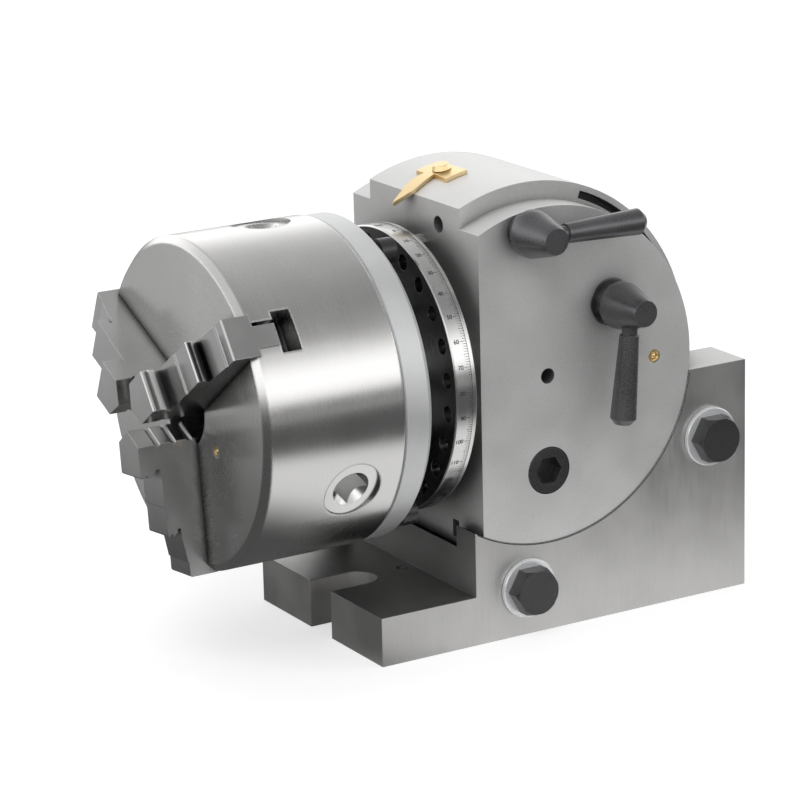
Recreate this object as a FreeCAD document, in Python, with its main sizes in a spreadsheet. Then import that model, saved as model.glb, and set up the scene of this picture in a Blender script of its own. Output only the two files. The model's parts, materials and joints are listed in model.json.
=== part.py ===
import FreeCAD, Part
import Sketcher
import math
import os
import re

from FreeCAD import Placement, Rotation, Vector

os.makedirs("parts", exist_ok=True)
doc = FreeCAD.newDocument("DividingHead")

# Driving sizes in millimetres. X runs along the spindle towards its tail, Z is up, and the
# origin is on the underside of the base, below the swivel axis.
SIZES = {
    # heights and fits
    "centre_height": 100.0,
    "running_clearance": 0.05,
    "seat_clearance": 0.01,
    "overcut": 1.0,
    # base casting
    "base_front": 75.0,
    "base_rear": 91.0,
    "base_half_width": 46.0,
    "flange_height": 19.0,
    "front_wall": 33.5,
    "cheek_height": 92.0,
    "channel_clearance": 0.6,
    "trough_play": 1.5,
    "trough_clearance": 2.0,
    "trough_front": 26.0,
    "bolt_slot_width": 16.0,
    "bolt_slot_depth": 24.0,
    "flange_hole_offset": 38.5,
    "small_hole_radius": 2.5,
    "small_hole_depth": 10.0,
    # swivel housing
    "rim_radius": 72.0,
    "rim_half_width": 32.5,
    "disc_step": 7.0,
    "disc_inset": 0.5,
    "front_chord": 29.5,
    "chamber_radius": 34.0,
    "chamber_end": 20.0,
    "rear_face": 66.0,
    "rear_spot_radius": 24.0,
    # clamps of the swivel
    "clamp_reach": 10.0,
    "clamp_angle_rear": -26.0,
    "clamp_angle_front": -97.5,
    "clamp_bolt_radius": 5.0,
    "bolt_hole_clearance": 0.5,
    "clamp_head_height": 6.4,
    "clamp_head_radius": 9.8,
    "washer_radius": 11.6,
    "washer_thickness": 2.0,
    "shoe_width": 20.0,
    "shoe_reach": 9.0,
    "clamp_wall": 4.7,
    "shoe_play": 0.4,
    "groove_rim": 2.3,
    "groove_neck": 3.0,
    "groove_foot": 6.2,
    "groove_depth": 9.0,
    "groove_lip": 4.4,
    "groove_start": 70.0,
    "groove_sweep": 190.0,
    # spindle and its bearings
    "spindle_bore": 9.0,
    "taper_mouth": 11.9,
    "taper_end": 9.88,
    "taper_length": 81.0,
    "nose_radius": 19.5,
    "flange_radius": 34.0,
    "journal_radius": 24.0,
    "wheel_seat_radius": 20.0,
    "tail_radius": 18.0,
    "tail_excess": 0.5,
    "carrier_flange_radius": 42.0,
    "carrier_end": 12.0,
    "bush_wall": 4.0,
    "wheel_half_width": 8.0,
    "wheel_nut_radius": 26.0,
    "wheel_nut_width": 8.0,
    "lock_nut_radius": 22.0,
    "lock_nut_width": 5.5,
    "thrust_thickness": 2.5,
    # worm and wheel
    "gear_module": 1.5,
    "wheel_teeth": 40,
    "tooth_backlash": 0.25,
    "tooth_flank": 22.0,
    "worm_pitch_radius": 7.0,
    "worm_half_length": 15.6,
    "worm_turns": 4.5,
    "worm_sink": 0.3,
    "thread_thinning": 0.2,
    "worm_journal_radius": 5.0,
    "sleeve_radius": 15.0,
    "sleeve_offset": 3.5,
    "sleeve_near": 33.0,
    "sleeve_flange": 6.0,
    "plug_radius": 9.3,
    "plug_length": 8.0,
    # index ring and backplate
    "ring_radius": 55.0,
    "ring_thickness": 6.5,
    "bearing_flange": 10.0,
    "ring_hole_circle": 49.0,
    "ring_hole_radius": 3.05,
    "ring_holes": 24,
    "index_pin_radius": 3.0,
    "index_pin_angle": 82.5,
    "index_pin_retreat": 0.3,
    "index_pin_bore": 24.0,
    "spindle_flange": 13.5,
    "backplate_step": 0.5,
    "flange_screw_circle": 29.0,
    "flange_screw_radius": 2.0,
    "ring_screw_length": 9.0,
    "backplate_screw_length": 15.0,
    "chuck_bolt_radius": 3.0,
    "nut_notch": 5.0,
    "key_width": 6.0,
    "key_height": 5.0,
    "carrier_screw_circle": 37.8,
    "carrier_screw_radius": 2.0,
    "carrier_head_radius": 3.5,
    "near_hole_radius": 3.0,
    "front_hole_radius": 3.3,
    "front_hole_side": 17.5,
    "front_hole_rise": 57.0,
    "oiler_radius": 2.7,
    "oiler_length": 8.0,
    "oiler_x": 48.5,
    "lock_pad_radius": 9.0,
    "lock_pad_length": 14.0,
    "lock_pad_gap": 2.0,
    "finger_radius": 1.5,
    "finger_play": 0.2,
    "finger_sweep": 6.0,
    "finger_floor_rise": 47.0,
    "index_shaft_end": -1.5,
    "index_finger_length": 12.0,
    "index_pin_length": 32.0,
    "pointer_screw_radius": 1.9,
    "pointer_screw_length": 8.0,
    "pointer_screw_y": 5.0,
    "pointer_screw_x": 13.5,
    "pointer_thickness": 1.5,
    "pointer_reach": 11.0,
    "lever_stub_short": 4.0,
    "lever_stub_radius": 3.5,
    "handle_stub_radius": 3.0,
    "handle_root_radius": 3.7,
    "handle_end_radius": 5.0,
    "handle_length": 42.0,
    "chuck_edge": 2.5,
    "chuck_bolt_depth": 14.0,
    "face_oiler_radius": 2.0,
    "face_oiler_length": 6.0,
    "face_oiler_circle": 27.0,
    "face_oiler_angle": -26.0,
    "pinion_pin_radius": 1.5,
    "pinion_pin_depth": 12.0,
    "pinion_sink": 1.5,
    "pinion_mouth": 3.0,
    "pinion_collar": 8.0,
    "pinion_gear_small": 8.0,
    "pinion_socket_depth": 12.0,
    "worm_play": 0.7,
    "worm_shaft_radius": 6.0,
    "sleeve_flange_radius": 24.0,
    "plate_gap": 3.6,
    "boss_radius": 13.0,
    "boss_length": 12.0,
    "wheel_relief_half": 22.5,
    "plate_screw_circle": 18.5,
    "plate_screw_radius": 2.0,
    "release_stub_radius": 2.0,
    "release_length": 22.0,
    "release_knob_radius": 2.8,
    "plug_socket_radius": 5.8,
    "plate_hole_radius": 2.05,
    "hole_circle_step": 7.0,
    "sector_thickness": 2.5,
    "sector_rim": 3.0,
    "sector_width": 6.0,
    "crank_stand": 7.0,
    "crank_hub_radius": 11.0,
    "crank_thickness": 6.0,
    "crank_width": 15.0,
    "crank_reach": 47.0,
    "crank_slot_start": 24.0,
    "crank_slot_width": 8.0,
    "crank_nut_radius": 9.2,
    "crank_nut_height": 7.0,
    "plunger_flange_radius": 9.0,
    "plunger_flange": 4.0,
    "plunger_body_radius": 7.0,
    "plunger_length": 20.0,
    "plunger_pin_radius": 2.0,
    "plunger_spring_radius": 5.0,
    "plunger_cap": 3.0,
    "plunger_collar": 2.5,
    "plunger_knob_gap": 11.2,
    "plunger_knob_length": 17.8,
    # chuck
    "chuck_radius": 62.5,
    "backplate_thickness": 12.5,
    "chuck_length": 57.5,
    "chuck_bore": 16.0,
    "chuck_hub": 20.0,
    "cavity_radius": 52.0,
    "jaw_foot_length": 6.8,
    "cover_thickness": 5.0,
    "cover_inset": 3.0,
    "scroll_thickness": 6.5,
    "pinion_rise": 20.0,
    "pinion_radius": 11.4,
    "pinion_inner": 30.0,
    "pinion_square": 10.0,
    "jaw_angle": 36.0,
    "jaw_width": 15.8,
    "jaw_neck_width": 9.7,
    "jaw_shelf_depth": 3.5,
    "jaw_neck_length": 8.8,
    "jaw_tip": 6.0,
    "jaw_tip_side": 11.0,
    "jaw_step_high": 24.0,
    "jaw_step_mid": 15.8,
    "jaw_step_low": 8.0,
    "jaw_step_one": 39.0,
    "jaw_ramp": 4.2,
    "jaw_tooth": 0.9,
    "jaw_teeth": 3,
    "jaw_notch": 1.3,
    "jaw_notch_pitch": 6.5,
    "jaw_step_two": 54.0,
    "chuck_bolt_circle": 57.0,
    # dividing mechanism on the far side
    "plate_radius": 53.0,
    "plate_thickness": 6.0,
    "hole_circle_outer": 46.0,
    # levers on the near side
    "lever_hub_radius": 9.0,
    "lever_cap_radius": 5.0,
    "lever_collar": 6.0,
    "lever_hub_length": 17.5,
    "lever_shaft_radius": 5.0,
    "index_lever_x": -10.5,
    "index_lever_rise": 57.5,
    "lock_lever_x": 28.5,
    "lock_lever_rise": 24.5,
}

# Sizes that follow from those above, so that neighbours stay seated when one of them changes.
FOLLOWING = {
    "disc_half_width": "(base_half_width - disc_inset)",
    "disc_radius": "(rim_radius - disc_step)",
    "clamp_circle": "(rim_radius + clamp_reach)",
    "shoe_thickness": "(base_half_width - rim_half_width - clamp_wall - 2 * shoe_play)",
    "groove_outer": "(rim_radius - groove_rim)",
    "trough_half_width": "(lock_nut_radius + trough_play)",
    "tail_end": "(rear_face + thrust_thickness + 2 * lock_nut_width + tail_excess)",
    "trough_floor": "(centre_height - sqrt(tail_end^2 + lock_nut_radius^2) - trough_clearance)",
    "plate_face": "(base_half_width + washer_thickness + clamp_head_height + plate_gap)",
    "sleeve_far": "(plate_face - sleeve_flange)",
    "boss_end": "(plate_face + boss_length)",
    "crank_end": "(boss_end + crank_stand)",
    "index_lever_z": "(centre_height + index_lever_rise)",
    "lock_lever_z": "(centre_height + lock_lever_rise)",
    "finger_floor": "(centre_height + finger_floor_rise)",
    "front_hole_height": "(centre_height + front_hole_rise)",
    "ring_rear": "(front_chord + bearing_flange)",
    "ring_front": "(ring_rear + ring_thickness)",
    "backplate_rear": "(ring_front + spindle_flange)",
    "chuck_rear": "(backplate_rear + backplate_thickness)",
    "chuck_front": "(chuck_rear + chuck_length)",
    "cover_rear": "(chuck_rear + cover_inset)",
    "cover_front": "(cover_rear + cover_thickness)",
    "pinion_axis": "(chuck_rear + pinion_rise)",
    "jaw_shelf": "(chuck_front - jaw_shelf_depth)",
    "jaw_foot_front": "(jaw_shelf - jaw_neck_length)",
    "cavity_front": "(jaw_foot_front - jaw_foot_length)",
    "scroll_rear": "(cavity_front - scroll_thickness)",
    "backplate_radius": "(chuck_radius - backplate_step)",
    "jaw_outer": "chuck_radius",
}

sheet = doc.addObject("Spreadsheet::Sheet", "Sizes")
for row, (alias, value) in enumerate(SIZES.items(), start=1):
    sheet.set(f"A{row}", alias)
    sheet.set(f"B{row}", str(value))
    sheet.setAlias(f"B{row}", alias)
doc.recompute()

WORD = re.compile(r"[a-z][a-z_]*")


def linked(text):
    """Turn size names in an expression into references to the sheet."""
    text = str(text)
    while any(word in FOLLOWING for word in WORD.findall(text)):
        text = WORD.sub(lambda m: FOLLOWING.get(m.group(), m.group()), text)
    return WORD.sub(lambda m: "Sizes." + m.group() if m.group() in SIZES else m.group(), text)


def bind(item, **sizes):
    """Bind properties of an object to expressions of the sheet."""
    for name, text in sizes.items():
        item.setExpression(name, linked(text))
    return item


# Ways in which a piece's own Z axis can point.
UP = Rotation()
TO_TAIL = Rotation(Vector(0, 1, 0), 90)
TO_CHUCK = Rotation(Vector(0, 1, 0), -90)
TO_NEAR = Rotation(Vector(1, 0, 0), 90)
TO_FAR = Rotation(Vector(1, 0, 0), -90)


def radial_turn(angle):
    """Own Z outwards from the spindle at an angle from the near side upwards."""
    return Rotation(Vector(1, 0, 0), 90 - angle)


def place(item, at=("0", "0", "0"), turn=UP):
    """Turn an object and bind its position to the sheet."""
    item.Placement = Placement(Vector(), turn)
    for axis, text in zip("xyz", at):
        item.setExpression(f".Placement.Base.{axis}", linked(text))
    return item


def cylinder(radius, length, at, turn=UP):
    return place(bind(doc.addObject("Part::Cylinder", "Round"), Radius=radius, Height=length), at, turn)


def cone(start, end, length, at, turn=UP):
    item = bind(doc.addObject("Part::Cone", "Taper"), Radius1=start, Radius2=end, Height=length)
    return place(item, at, turn)


def sphere(radius, at):
    return place(bind(doc.addObject("Part::Sphere", "Ball"), Radius=radius), at)


def box(size, at, turn=UP):
    item = bind(doc.addObject("Part::Box", "Block"), Length=size[0], Width=size[1], Height=size[2])
    return place(item, at, turn)


def prism(radius, length, at, turn=UP, sides=6):
    item = doc.addObject("Part::Prism", "Prism")
    item.Polygon = sides
    return place(bind(item, Circumradius=radius, Height=length), at, turn)


def fuse(label, *shapes):
    item = doc.addObject("Part::MultiFuse", "Union")
    item.Shapes = list(shapes)
    item.Label = label
    return item


def cut(label, base, *tools):
    item = doc.addObject("Part::Cut", "Cut")
    item.Base = base
    item.Tool = tools[0] if len(tools) == 1 else fuse(label + "_tools", *tools)
    item.Label = label
    return item


def common(label, *shapes):
    item = doc.addObject("Part::MultiCommon", "Overlap")
    item.Shapes = list(shapes)
    item.Label = label
    return item


def group(label, *shapes):
    item = doc.addObject("Part::Compound", "Group")
    item.Links = list(shapes)
    item.Label = label
    return item


def outline(body, role, points):
    """Draw a closed outline whose corners are bound to the sheet."""
    sketch = body.newObject("Sketcher::SketchObject", "Outline")
    plane = next(item for item in body.Origin.OriginFeatures if item.Role == role)
    sketch.AttachmentSupport = [(plane, "")]
    sketch.MapMode = "FlatFace"
    count = len(points)
    corners = [
        Vector(50 * math.cos(2 * math.pi * i / count), 50 * math.sin(2 * math.pi * i / count), 0)
        for i in range(count)
    ]
    for i in range(count):
        sketch.addGeometry(Part.LineSegment(corners[i], corners[(i + 1) % count]))
    for i in range(count):
        sketch.addConstraint(Sketcher.Constraint("Coincident", i, 2, (i + 1) % count, 1))
    for i, point in enumerate(points):
        for kind, value, text in zip(("DistanceX", "DistanceY"), corners[i], point):
            number = sketch.addConstraint(Sketcher.Constraint(kind, -1, 1, i, 1, value))
            sketch.setExpression(f"Constraints[{number}]", linked(text))
    return sketch


def turned(label, profile, at, turn):
    """A piece turned about its own Z axis from (radius, height) corners."""
    body = doc.addObject("PartDesign::Body", "Turned")
    body.Label = label
    sketch = outline(body, "XZ_Plane", profile)
    feature = body.newObject("PartDesign::Revolution", "Revolution")
    feature.Profile = sketch
    feature.ReferenceAxis = (sketch, ["V_Axis"])
    feature.Angle = 360
    return place(body, at, turn)


def extruded(label, profile, width, at=("0", "0", "0"), turn=UP):
    """A piece of (x, z) corners, as wide as given, half on each side of its own XZ plane."""
    body = doc.addObject("PartDesign::Body", "Extruded")
    body.Label = label
    sketch = outline(body, "XZ_Plane", profile)
    feature = body.newObject("PartDesign::Pad", "Pad")
    feature.Profile = sketch
    bind(feature, Length=width)
    feature.SideType = "Symmetric"
    return place(body, at, turn)


def ring_profile(inner, outer, start, end, edge="0.5"):
    """Corners of a ring with a small chamfer on its two outer edges."""
    return [
        (inner, start),
        (f"({outer}) - {edge}", start),
        (outer, f"({start}) + {edge}"),
        (outer, f"({end}) - {edge}"),
        (f"({outer}) - {edge}", end),
        (inner, end),
    ]


def around_spindle(circle, angle, x):
    """A point on a circle about the spindle, the angle counted from the near side upwards."""
    return (x, f"-({circle}) * cos({angle})", f"centre_height + ({circle}) * sin({angle})")


def around_swivel(out, up, y, angle):
    """A point in a frame turned about the swivel axis: so far out, so far across and along Y."""
    x = f"({out}) * cos({angle}) - ({up}) * sin({angle})"
    z = f"centre_height + ({out}) * sin({angle}) + ({up}) * cos({angle})"
    return (x, y, z)


def cap_screw(radius, length, at, turn, head=None):
    """A hexagon socket screw whose head starts at its own origin and whose shank points down."""
    head_radius = head or f"1.6 * {radius}"
    blank = fuse(
        "screw_blank",
        cylinder(head_radius, f"2 * {radius}", at, turn),
        cylinder(radius, length, shifted(at, turn, f"-({length})"), turn),
    )
    socket = prism(f"0.95 * {radius}", f"1.2 * {radius}", shifted(at, turn, f"0.9 * {radius}"), turn)
    return cut("screw", blank, socket)


def shifted(at, turn, distance):
    """A point moved along the direction in which a turn sends the own Z axis."""
    way = turn.multVec(Vector(0, 0, 1))
    return tuple(f"{text} + ({distance}) * ({part:.9f})" for text, part in zip(at, way))


SWIVEL = ("0", "0", "centre_height")

# Base casting with its cradle, channel, trough, bolt slots and clamp pockets.
CLAMPS = [(side, angle) for side in (-1, 1) for angle in ("clamp_angle_rear", "clamp_angle_front")]
base_block = extruded(
    "base_block",
    [
        ("-base_front", "0"),
        ("base_rear", "0"),
        ("base_rear", "cheek_height"),
        ("-front_wall", "cheek_height"),
        ("-front_wall", "flange_height"),
        ("-base_front", "flange_height"),
    ],
    "2 * base_half_width",
)
cradle = cylinder(
    "disc_radius + running_clearance",
    "2 * base_half_width + 2 * overcut",
    ("0", "-base_half_width - overcut", "centre_height"),
    TO_FAR,
)
channel = cylinder(
    "rim_radius + channel_clearance",
    "2 * rim_half_width + 2 * running_clearance",
    ("0", "-rim_half_width - running_clearance", "centre_height"),
    TO_FAR,
)
trough = box(
    ("base_rear + trough_front + overcut", "2 * trough_half_width", "centre_height"),
    ("-trough_front", "-trough_half_width", "trough_floor"),
)


def bolt_slot(end, sign):
    """An open slot for a table bolt, its round end inside the foot."""
    middle = f"{sign} * ({end} - bolt_slot_depth + bolt_slot_width / 2)"
    straight_start = middle if sign > 0 else f"-{end} - overcut"
    return fuse(
        "bolt_slot",
        cylinder("bolt_slot_width / 2", "flange_height + 2 * overcut", (middle, "0", "-overcut")),
        box(
            (
                "bolt_slot_depth - bolt_slot_width / 2 + overcut",
                "bolt_slot_width",
                "flange_height + 2 * overcut",
            ),
            (straight_start, "-bolt_slot_width / 2", "-overcut"),
        ),
    )


flange_hole = cylinder(
    "small_hole_radius",
    "small_hole_depth + overcut",
    ("-flange_hole_offset", "0", "flange_height - small_hole_depth"),
)


def swivel_turn(angle):
    return Rotation(Vector(0, 1, 0), -SIZES[angle])


def clamp_pocket(side, angle):
    """The space for one clamp shoe and its bolt in a cheek."""
    depth = "shoe_thickness + 2 * shoe_play"
    inner = "rim_half_width" if side > 0 else f"-rim_half_width - ({depth})"
    hole_start = "-base_half_width - overcut" if side < 0 else "trough_half_width + shoe_play"
    return [
        box(
            (
                "clamp_circle + shoe_reach + shoe_play - disc_radius + overcut",
                depth,
                "shoe_width + 2 * shoe_play",
            ),
            around_swivel("disc_radius - overcut", "-shoe_width / 2 - shoe_play", inner, angle),
            swivel_turn(angle),
        ),
        cylinder(
            "clamp_bolt_radius + bolt_hole_clearance",
            "base_half_width - trough_half_width - shoe_play + overcut",
            around_swivel("clamp_circle", "0", hole_start, angle),
            TO_FAR,
        ),
    ]


pockets = [tool for side, angle in CLAMPS for tool in clamp_pocket(side, angle)]
base_casting = cut(
    "base_casting",
    base_block,
    cradle,
    channel,
    trough,
    bolt_slot("base_front", -1),
    bolt_slot("base_rear", 1),
    flange_hole,
    *pockets,
)


def clamp_shoe(side, angle):
    """A clamp shoe: a block in the cheek with a foot that hooks into the housing's groove."""
    far_y = "-rim_half_width - shoe_play - shoe_thickness"
    block_y = "rim_half_width + shoe_play" if side > 0 else far_y
    hook_length = "groove_depth + overcut"
    neck_y = "rim_half_width - groove_depth + shoe_play"
    foot_length = "groove_lip - shoe_play"
    if side < 0:
        neck_y_start = f"-({neck_y}) - ({hook_length})"
        foot_y_start = f"-({neck_y}) - ({foot_length})"
    else:
        neck_y_start = neck_y
        foot_y_start = neck_y
    width = "shoe_width / 2"
    block = box(
        (
            "clamp_circle + shoe_reach - disc_radius - shoe_play - running_clearance",
            "shoe_thickness",
            "shoe_width",
        ),
        around_swivel("disc_radius + running_clearance + shoe_play", "-shoe_width / 2", block_y, angle),
        swivel_turn(angle),
    )
    neck = box(
        ("groove_neck - 2 * shoe_play", hook_length, width),
        around_swivel("groove_outer - groove_neck + shoe_play", "-shoe_width / 4", neck_y_start, angle),
        swivel_turn(angle),
    )
    foot = box(
        ("groove_foot - 2 * shoe_play", foot_length, width),
        around_swivel("groove_outer - groove_foot + shoe_play", "-shoe_width / 4", foot_y_start, angle),
        swivel_turn(angle),
    )
    thread = cylinder(
        "clamp_bolt_radius + seat_clearance",
        "2 * base_half_width",
        around_swivel("clamp_circle", "0", "0" if side > 0 else "-2 * base_half_width", angle),
        TO_FAR,
    )
    return cut("shoe", fuse("shoe_blank", block, neck, foot), thread)


def clamp_washer(side, angle):
    face = "base_half_width" if side > 0 else "-base_half_width"
    turn = TO_FAR if side > 0 else TO_NEAR
    profile = ring_profile(
        "clamp_bolt_radius + bolt_hole_clearance / 2",
        "washer_radius",
        "0",
        "washer_thickness",
        "0.3",
    )
    return turned("washer", profile, around_swivel("clamp_circle", "0", face, angle), turn)


def clamp_bolt(side, angle):
    turn = TO_FAR if side > 0 else TO_NEAR
    seat = "base_half_width + washer_thickness"
    seat_y = seat if side > 0 else f"-({seat})"
    length = "washer_thickness + base_half_width - rim_half_width"
    at = around_swivel("clamp_circle", "0", seat_y, angle)
    return fuse(
        "bolt",
        common(
            "bolt_head",
            prism("clamp_head_radius", "clamp_head_height", at, turn),
            cone(
                "clamp_head_radius + 3",
                "clamp_head_radius - 1.2",
                "clamp_head_height + 0.01",
                at,
                turn,
            ),
        ),
        cylinder("clamp_bolt_radius", length, shifted(at, turn, f"-({length})"), turn),
    )


clamp_shoes = group("clamp_shoes", *[clamp_shoe(side, angle) for side, angle in CLAMPS])
clamp_washers = group("clamp_washers", *[clamp_washer(side, angle) for side, angle in CLAMPS])
clamp_bolts = group("clamp_bolts", *[clamp_bolt(side, angle) for side, angle in CLAMPS])

# Swivel housing: a wide rim between two smaller discs, cut off flat at the front.
housing_blank = fuse(
    "housing_blank",
    cylinder("rim_radius", "2 * rim_half_width", ("0", "-rim_half_width", "centre_height"), TO_FAR),
    cylinder("disc_radius", "2 * disc_half_width", ("0", "-disc_half_width", "centre_height"), TO_FAR),
)
front_cut = box(
    ("rim_radius", "2 * disc_half_width + 2 * overcut", "2 * rim_radius + 2 * overcut"),
    ("-front_chord - rim_radius", "-disc_half_width - overcut", "centre_height - rim_radius - overcut"),
)
chamber = cylinder(
    "chamber_radius",
    "front_chord + chamber_end",
    ("-front_chord", "0", "centre_height"),
    TO_TAIL,
)
rear_bore = cylinder(
    "tail_radius + bush_wall",
    "rim_radius",
    ("chamber_end - overcut", "0", "centre_height"),
    TO_TAIL,
)
rear_spot = cylinder("rear_spot_radius", "rim_radius", ("rear_face", "0", "centre_height"), TO_TAIL)
WORM_HEIGHT = "centre_height - gear_module * wheel_teeth / 2 - worm_pitch_radius"
sleeve_bore = cylinder(
    "sleeve_radius + running_clearance",
    "sleeve_near + base_half_width",
    ("sleeve_offset", "-sleeve_near", WORM_HEIGHT),
    TO_FAR,
)
plug_bore = cylinder("plug_radius", "base_half_width", ("0", "-base_half_width", WORM_HEIGHT), TO_FAR)


def clamp_groove(side):
    """The undercut arc groove in one side face of the rim."""
    turn = TO_FAR * Rotation(Vector(0, 0, 1), -SIZES["groove_start"])
    mouth_y = "rim_half_width - groove_depth" if side > 0 else "-rim_half_width - overcut"
    foot_y = "rim_half_width - groove_depth" if side > 0 else "-rim_half_width + groove_depth - groove_lip"

    def sector(inner, length, y):
        outer = bind(
            cylinder("groove_outer", length, ("0", y, "centre_height"), turn),
            Angle="groove_sweep",
        )
        core = cylinder(inner, length, ("0", y, "centre_height"), turn)
        return cut("sector", outer, core)

    return [
        sector("groove_outer - groove_neck", "groove_depth + overcut", mouth_y),
        sector("groove_outer - groove_foot", "groove_lip", foot_y),
    ]


index_lever_bore = cylinder(
    "lever_shaft_radius + running_clearance",
    "disc_half_width + index_shaft_end + 2 * overcut",
    ("index_lever_x", "-disc_half_width - overcut", "index_lever_z"),
    TO_FAR,
)


RING_PIN = around_spindle("ring_hole_circle", "index_pin_angle", "-front_chord - overcut")
index_pin_bore = cylinder(
    "index_pin_radius + running_clearance", "index_pin_bore + overcut", RING_PIN, TO_TAIL
)
lock_bore = cylinder(
    "lock_pad_radius + running_clearance",
    "disc_half_width + lock_pad_gap + lock_pad_length + overcut + lock_pad_gap",
    ("lock_lever_x", "-disc_half_width - overcut", "lock_lever_z"),
    TO_FAR,
)
finger_room = box(
    (
        "2 * finger_sweep + 2 * finger_radius",
        "2 * finger_radius + 4 * finger_play",
        "index_lever_z - finger_floor",
    ),
    (
        "index_lever_x - finger_sweep - finger_radius",
        "-ring_hole_circle * cos(index_pin_angle) - finger_radius - 2 * finger_play",
        "finger_floor",
    ),
)
POINTER_SCREW_LEAN = -math.degrees(math.asin(SIZES["pointer_screw_x"] / SIZES["rim_radius"]))
POINTER_SCREW_TURN = Rotation(Vector(0, 1, 0), POINTER_SCREW_LEAN)
pointer_tapping = cylinder(
    "pointer_screw_radius + seat_clearance",
    "pointer_screw_length + pointer_thickness",
    shifted(
        ("0", "pointer_screw_y", "centre_height"),
        POINTER_SCREW_TURN,
        "rim_radius - pointer_screw_length",
    ),
    POINTER_SCREW_TURN,
)
near_tapped_hole = cylinder(
    "near_hole_radius",
    "small_hole_depth + overcut",
    ("0", "-disc_half_width - overcut", "centre_height"),
    TO_FAR,
)
front_tapped_hole = cylinder(
    "front_hole_radius",
    "small_hole_depth + overcut",
    ("-front_chord - overcut", "-front_hole_side", "front_hole_height"),
    TO_TAIL,
)
near_oiler_bore = cylinder(
    "oiler_radius",
    "oiler_length",
    ("oiler_x", "-disc_half_width", "centre_height"),
    TO_FAR,
)
CARRIER_SCREWS = [60 * k for k in range(6)]
CARRIER_FACE = "-ring_rear + running_clearance"
CARRIER_FLANGE = "(ring_rear - running_clearance - front_chord)"
carrier_screw_bores = [
    cylinder(
        "carrier_screw_radius",
        "small_hole_depth + overcut",
        around_spindle("carrier_screw_circle", str(angle), "-front_chord - overcut"),
        TO_TAIL,
    )
    for angle in CARRIER_SCREWS
]
PLATE_SCREWS = [90, 210, 330]
swivel_housing = cut(
    "swivel_housing",
    housing_blank,
    front_cut,
    chamber,
    rear_bore,
    rear_spot,
    sleeve_bore,
    plug_bore,
    *clamp_groove(-1),
    *clamp_groove(1),
    index_lever_bore,
    finger_room,
    pointer_tapping,
    index_pin_bore,
    lock_bore,
    near_tapped_hole,
    front_tapped_hole,
    near_oiler_bore,
    *carrier_screw_bores,
)

# Front bearing: a flanged carrier with a bronze bush, held by socket screws.
carrier_blank = turned(
    "carrier_blank",
    [
        ("journal_radius + bush_wall", "0"),
        ("carrier_flange_radius - 0.5", "0"),
        ("carrier_flange_radius", "0.5"),
        ("carrier_flange_radius", CARRIER_FLANGE),
        ("chamber_radius - seat_clearance", CARRIER_FLANGE),
        ("chamber_radius - seat_clearance", f"{CARRIER_FLANGE} + front_chord - carrier_end"),
        ("journal_radius + bush_wall", f"{CARRIER_FLANGE} + front_chord - carrier_end"),
    ],
    (CARRIER_FACE, "0", "centre_height"),
    TO_TAIL,
)
carrier_screw_seats = [
    fuse(
        "seat",
        cylinder(
            "carrier_screw_radius + seat_clearance",
            f"{CARRIER_FLANGE} + 2 * overcut",
            around_spindle("carrier_screw_circle", str(angle), f"{CARRIER_FACE} - overcut"),
            TO_TAIL,
        ),
        cylinder(
            "carrier_head_radius + bolt_hole_clearance / 2",
            "2 * carrier_screw_radius + bolt_hole_clearance + overcut",
            around_spindle("carrier_screw_circle", str(angle), f"{CARRIER_FACE} - overcut"),
            TO_TAIL,
        ),
    )
    for angle in CARRIER_SCREWS
]
front_bearing = cut("front_bearing", carrier_blank, *carrier_screw_seats)
front_bearing_screws = group(
    "front_bearing_screws",
    *[
        cap_screw(
            "carrier_screw_radius - seat_clearance",
            f"{CARRIER_FLANGE} - 2 * carrier_screw_radius + small_hole_depth - overcut",
            around_spindle(
                "carrier_screw_circle",
                str(angle),
                f"{CARRIER_FACE} + 2 * carrier_screw_radius + bolt_hole_clearance",
            ),
            TO_CHUCK,
            "carrier_head_radius",
        )
        for angle in CARRIER_SCREWS
    ],
)
front_bush = turned(
    "front_bush",
    ring_profile(
        "journal_radius + running_clearance",
        "journal_radius + bush_wall - seat_clearance",
        "0",
        f"{CARRIER_FLANGE} + front_chord - carrier_end",
    ),
    (CARRIER_FACE, "0", "centre_height"),
    TO_TAIL,
)
rear_bush_blank = turned(
    "rear_bush_blank",
    ring_profile(
        "tail_radius + running_clearance",
        "tail_radius + bush_wall - seat_clearance",
        "0",
        "rear_face - chamber_end",
    ),
    ("chamber_end", "0", "centre_height"),
    TO_TAIL,
)
rear_bush = cut("rear_bush", rear_bush_blank, lock_bore)

# Spindle: nose, flange, front journal, wheel seat and threaded tail, with a taper bore.
spindle_blank = turned(
    "spindle_blank",
    [
        ("spindle_bore", "0"),
        ("nose_radius - 1", "0"),
        ("nose_radius", "1"),
        ("nose_radius", "chuck_rear - backplate_rear"),
        ("flange_radius", "chuck_rear - backplate_rear"),
        ("flange_radius", "chuck_rear - ring_front"),
        ("journal_radius", "chuck_rear - ring_front"),
        ("journal_radius", "chuck_rear - wheel_half_width"),
        ("wheel_seat_radius", "chuck_rear - wheel_half_width"),
        ("wheel_seat_radius", "chuck_rear + wheel_half_width"),
        ("tail_radius", "chuck_rear + wheel_half_width"),
        ("tail_radius", "chuck_rear + tail_end - 1"),
        ("tail_radius - 1", "chuck_rear + tail_end"),
        ("spindle_bore", "chuck_rear + tail_end"),
    ],
    ("-chuck_rear", "0", "centre_height"),
    TO_TAIL,
)
spindle_taper = cone(
    "taper_mouth", "taper_end", "taper_length", ("-chuck_rear", "0", "centre_height"), TO_TAIL
)
key_seat = box(
    ("2 * wheel_half_width", "key_width", "key_height"),
    ("-wheel_half_width", "-key_width / 2", "centre_height + wheel_seat_radius - key_height / 2"),
)
spindle_screw_angles = [45 + 90 * k for k in range(4)]
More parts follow.
